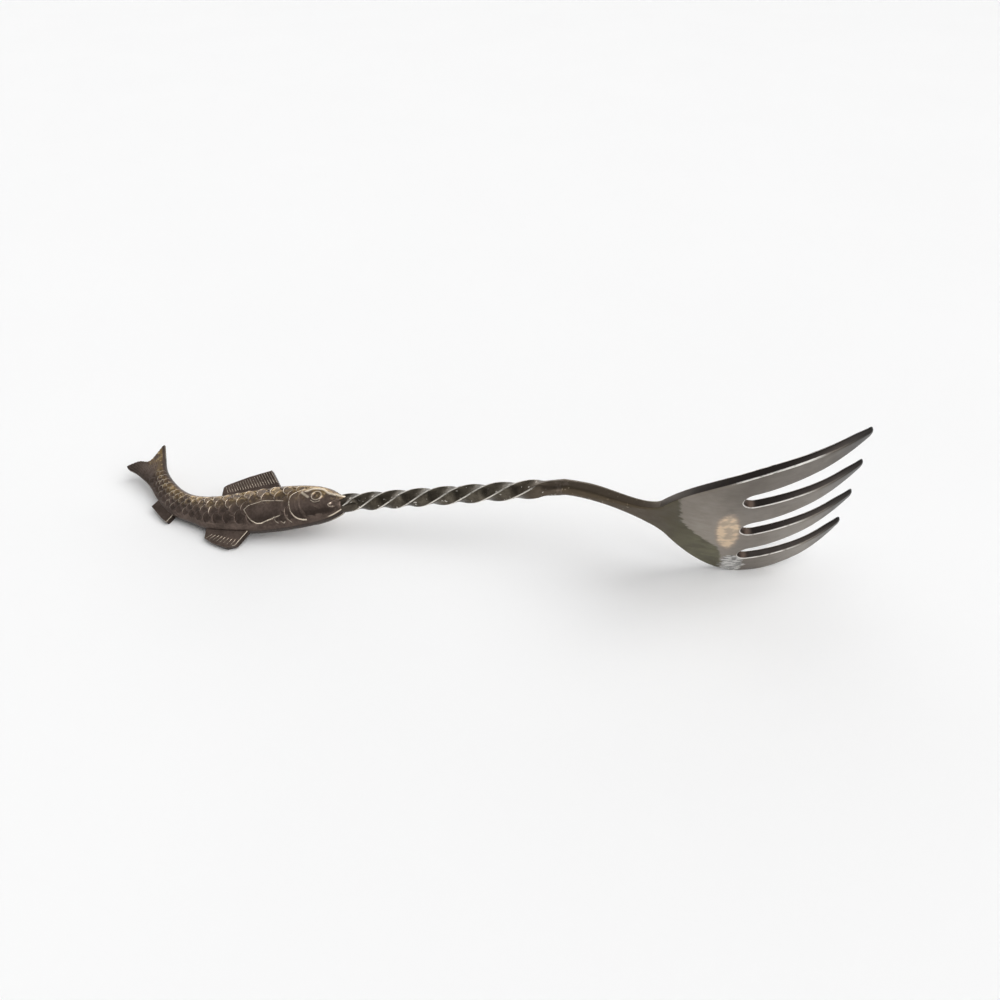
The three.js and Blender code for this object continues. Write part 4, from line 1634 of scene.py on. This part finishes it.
def solder_finish():
    material, graph, shader = new_finish("dull_silver_solder")
    fine = clouds(graph, 0.6, detail=5)
    colour = mix(graph, fine.step(0.35, 0.65), *SOLDER)
    at_mouth = 1 - fork_axes(graph)[0].step(*MOUTH_END)
    colour = mix(graph, at_mouth * 0.75, colour, MOUTH_SOLDER)
    return finish_off(material, graph, shader, {
        "Base Color": colour,
        "Roughness": 0.34 + 0.12 * fine,
        "Metallic": 1,
        "Normal": bump(graph, fine, 0.03),
    })


solder = solder_finish()
for seam in (neck_seam, mouth_seam):
    seam.data.materials.append(solder)

# %% [markdown]
# The fork lies on a pale table whose rim bends up far away on all sides. A plane would do for
# the photograph's view, but the bent rim also hides the horizon from most others. The table is
# turned like a plate: a line from its middle to its rim, set round in a ring.

# %% Table
TABLE_RADIUS = 2.0
TABLE_HEIGHT = 0.3
TABLE_BEND = 0.3
TABLE_SIDES = 96
BEND_STEPS = 9
PALE = (rgb(0.93, 0.93, 0.93), rgb(0.95, 0.95, 0.95))


def table_finish():
    material, graph, shader = new_finish("pale_table")
    return finish_off(material, graph, shader, {
        "Base Color": mix(graph, clouds(graph, 60), *PALE),
        "Roughness": 0.9,
        "Specular IOR Level": 0,
    })


def table():
    centre = (cad_box[0] + cad_box[1]) / 2
    turns = np.linspace(0, 2 * math.pi, TABLE_SIDES, endpoint=False)
    rings = []
    bend_centre = (TABLE_RADIUS - TABLE_BEND, TABLE_BEND)
    bend = arc(bend_centre, TABLE_BEND, -90, 0, BEND_STEPS)
    line = np.vstack([bend, [(TABLE_RADIUS, TABLE_HEIGHT)]])
    for radius, height in line:
        x = centre.x + radius * np.cos(turns)
        y = centre.y + radius * np.sin(turns)
        rings.append(np.column_stack([x, y, np.full(TABLE_SIDES, height)]))
    points = np.vstack([*rings, [(centre.x, centre.y, 0)]])
    middle = len(points) - 1
    faces = [[middle, i, (i + 1) % TABLE_SIDES] for i in range(TABLE_SIDES)]
    for k in range(len(line) - 1):
        faces += ring_strip((k + 1) * TABLE_SIDES, k * TABLE_SIDES, TABLE_SIDES)
    mesh = new_mesh("table", points, faces)
    shade_smooth(mesh)
    mesh.materials.append(table_finish())
    print("table", len(mesh.polygons), "faces")
    return put_in_scene("table", mesh)


floor = table()

# %% [markdown]
# Polished metal shows the room round it. A soft light leans in from the right, so each shadow
# gathers under the fork and to its left. A paler patch to the left shows in the flat flanks. A
# wall stands behind the fork, and a bright horizon at its foot glints on whatever leans to it.
# Area lamps could stand for all this, but a room that depends on direction alone lights the
# whole table alike.

# %% Light
SOFT_LIGHT = ((0.83, -0.15, 1), (36, 24), 3.12)  # its direction, degrees from its middle, level
LEFT_PATCH = ((-0.63, 0.1, 0.77), (48, 24), 0.4)
HORIZON_EDGE = (10, 24)  # degrees up
BACK_LEVEL = 3.0
FRONT_LEVEL = 1.2
WALL_EDGE = (45, 62)
WALL_LEVEL = 0.5
ROOM_LEVEL = 0.1
SIDES = (0.3, 0.7)


def round_light(direction, aim, edge, level):
    leaning = direction.graph.dot(direction, Vector(aim).normalized())
    return level * leaning.step(*(math.cos(math.radians(angle)) for angle in edge))


def below(z, edge):
    return 1 - z.step(*(math.sin(math.radians(angle)) for angle in edge))


def soft_room():
    world = bpy.data.worlds.new("soft_room")
    world.use_nodes = True
    graph = Graph(world.node_tree)
    direction = graph.wire("ShaderNodeTexCoord", output="Generated")
    _, y, z = graph.split(direction)
    horizon = below(z, HORIZON_EDGE)
    back = y.step(*SIDES) * (BACK_LEVEL * horizon + WALL_LEVEL * below(z, WALL_EDGE))
    front = (-1 * y).step(*SIDES) * FRONT_LEVEL * horizon
    lights = round_light(direction, *SOFT_LIGHT) + round_light(direction, *LEFT_PATCH)
    background = world.node_tree.nodes["Background"]
    graph.plug(background, {"Color": rgb(1, 1, 1), "Strength": ROOM_LEVEL + back + front + lights})
    print(world.name, len(graph.tree.nodes), "nodes")
    return world


bpy.context.scene.world = soft_room()
bpy.context.scene.view_settings.view_transform = "Standard"

# %% [markdown]
# The photograph was taken from above and in front, close by and with a short lens, so what is
# near looks larger. The camera is placed so that points of the fork fall in the picture where
# the photograph shows them.

# %% Camera
EYE_POINT = Vector((22.383, -112.122, 109.948)) * MM
VIEW_POINT = Vector((9.13, 1.25, 10.0)) * MM
ROLL = math.radians(-0.9)
LENS = 28.44

sight = (VIEW_POINT - EYE_POINT).normalized()
level = sight.cross(Vector((0, 0, 1))).normalized()
right = Matrix.Rotation(-ROLL, 3, sight) @ level
turn = Matrix((right, right.cross(sight), -sight)).transposed()
camera_data = bpy.data.cameras.new("photo_view")
camera_data.lens = LENS
camera_data.clip_start = MM
camera = put_in_scene("photo_view", camera_data)
camera.matrix_world = Matrix.Translation(EYE_POINT) @ turn.to_4x4()
bpy.context.scene.camera = camera
print("camera right axis", [round(v, 4) for v in right])

# %% [markdown]
# Each piece rides on the fork's one rigid body. Five of them stand for its five solids, and the
# others are trim on the fish.

# %% Put the pieces on the body
PIECES = [
    (fork_head, "head_plate", ["fork_head"]),
    (twisted_shank, "shank_plate", ["twisted_shank"]),
    (fish, "fish_patina", ["fish_handle"]),
    (rims, "fish_patina", []),
    (rays, "fish_patina", []),
    (mouth_seam, "hard_solder", ["mouth_solder"]),
    (neck_seam, "hard_solder", ["neck_solder"]),
]
PIECES += [(piece, "fish_patina", []) for piece in fins]
print(len(PIECES), "pieces on one body")
for piece, slot, nodes in PIECES:
    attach(piece, "root")
    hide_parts(*nodes)
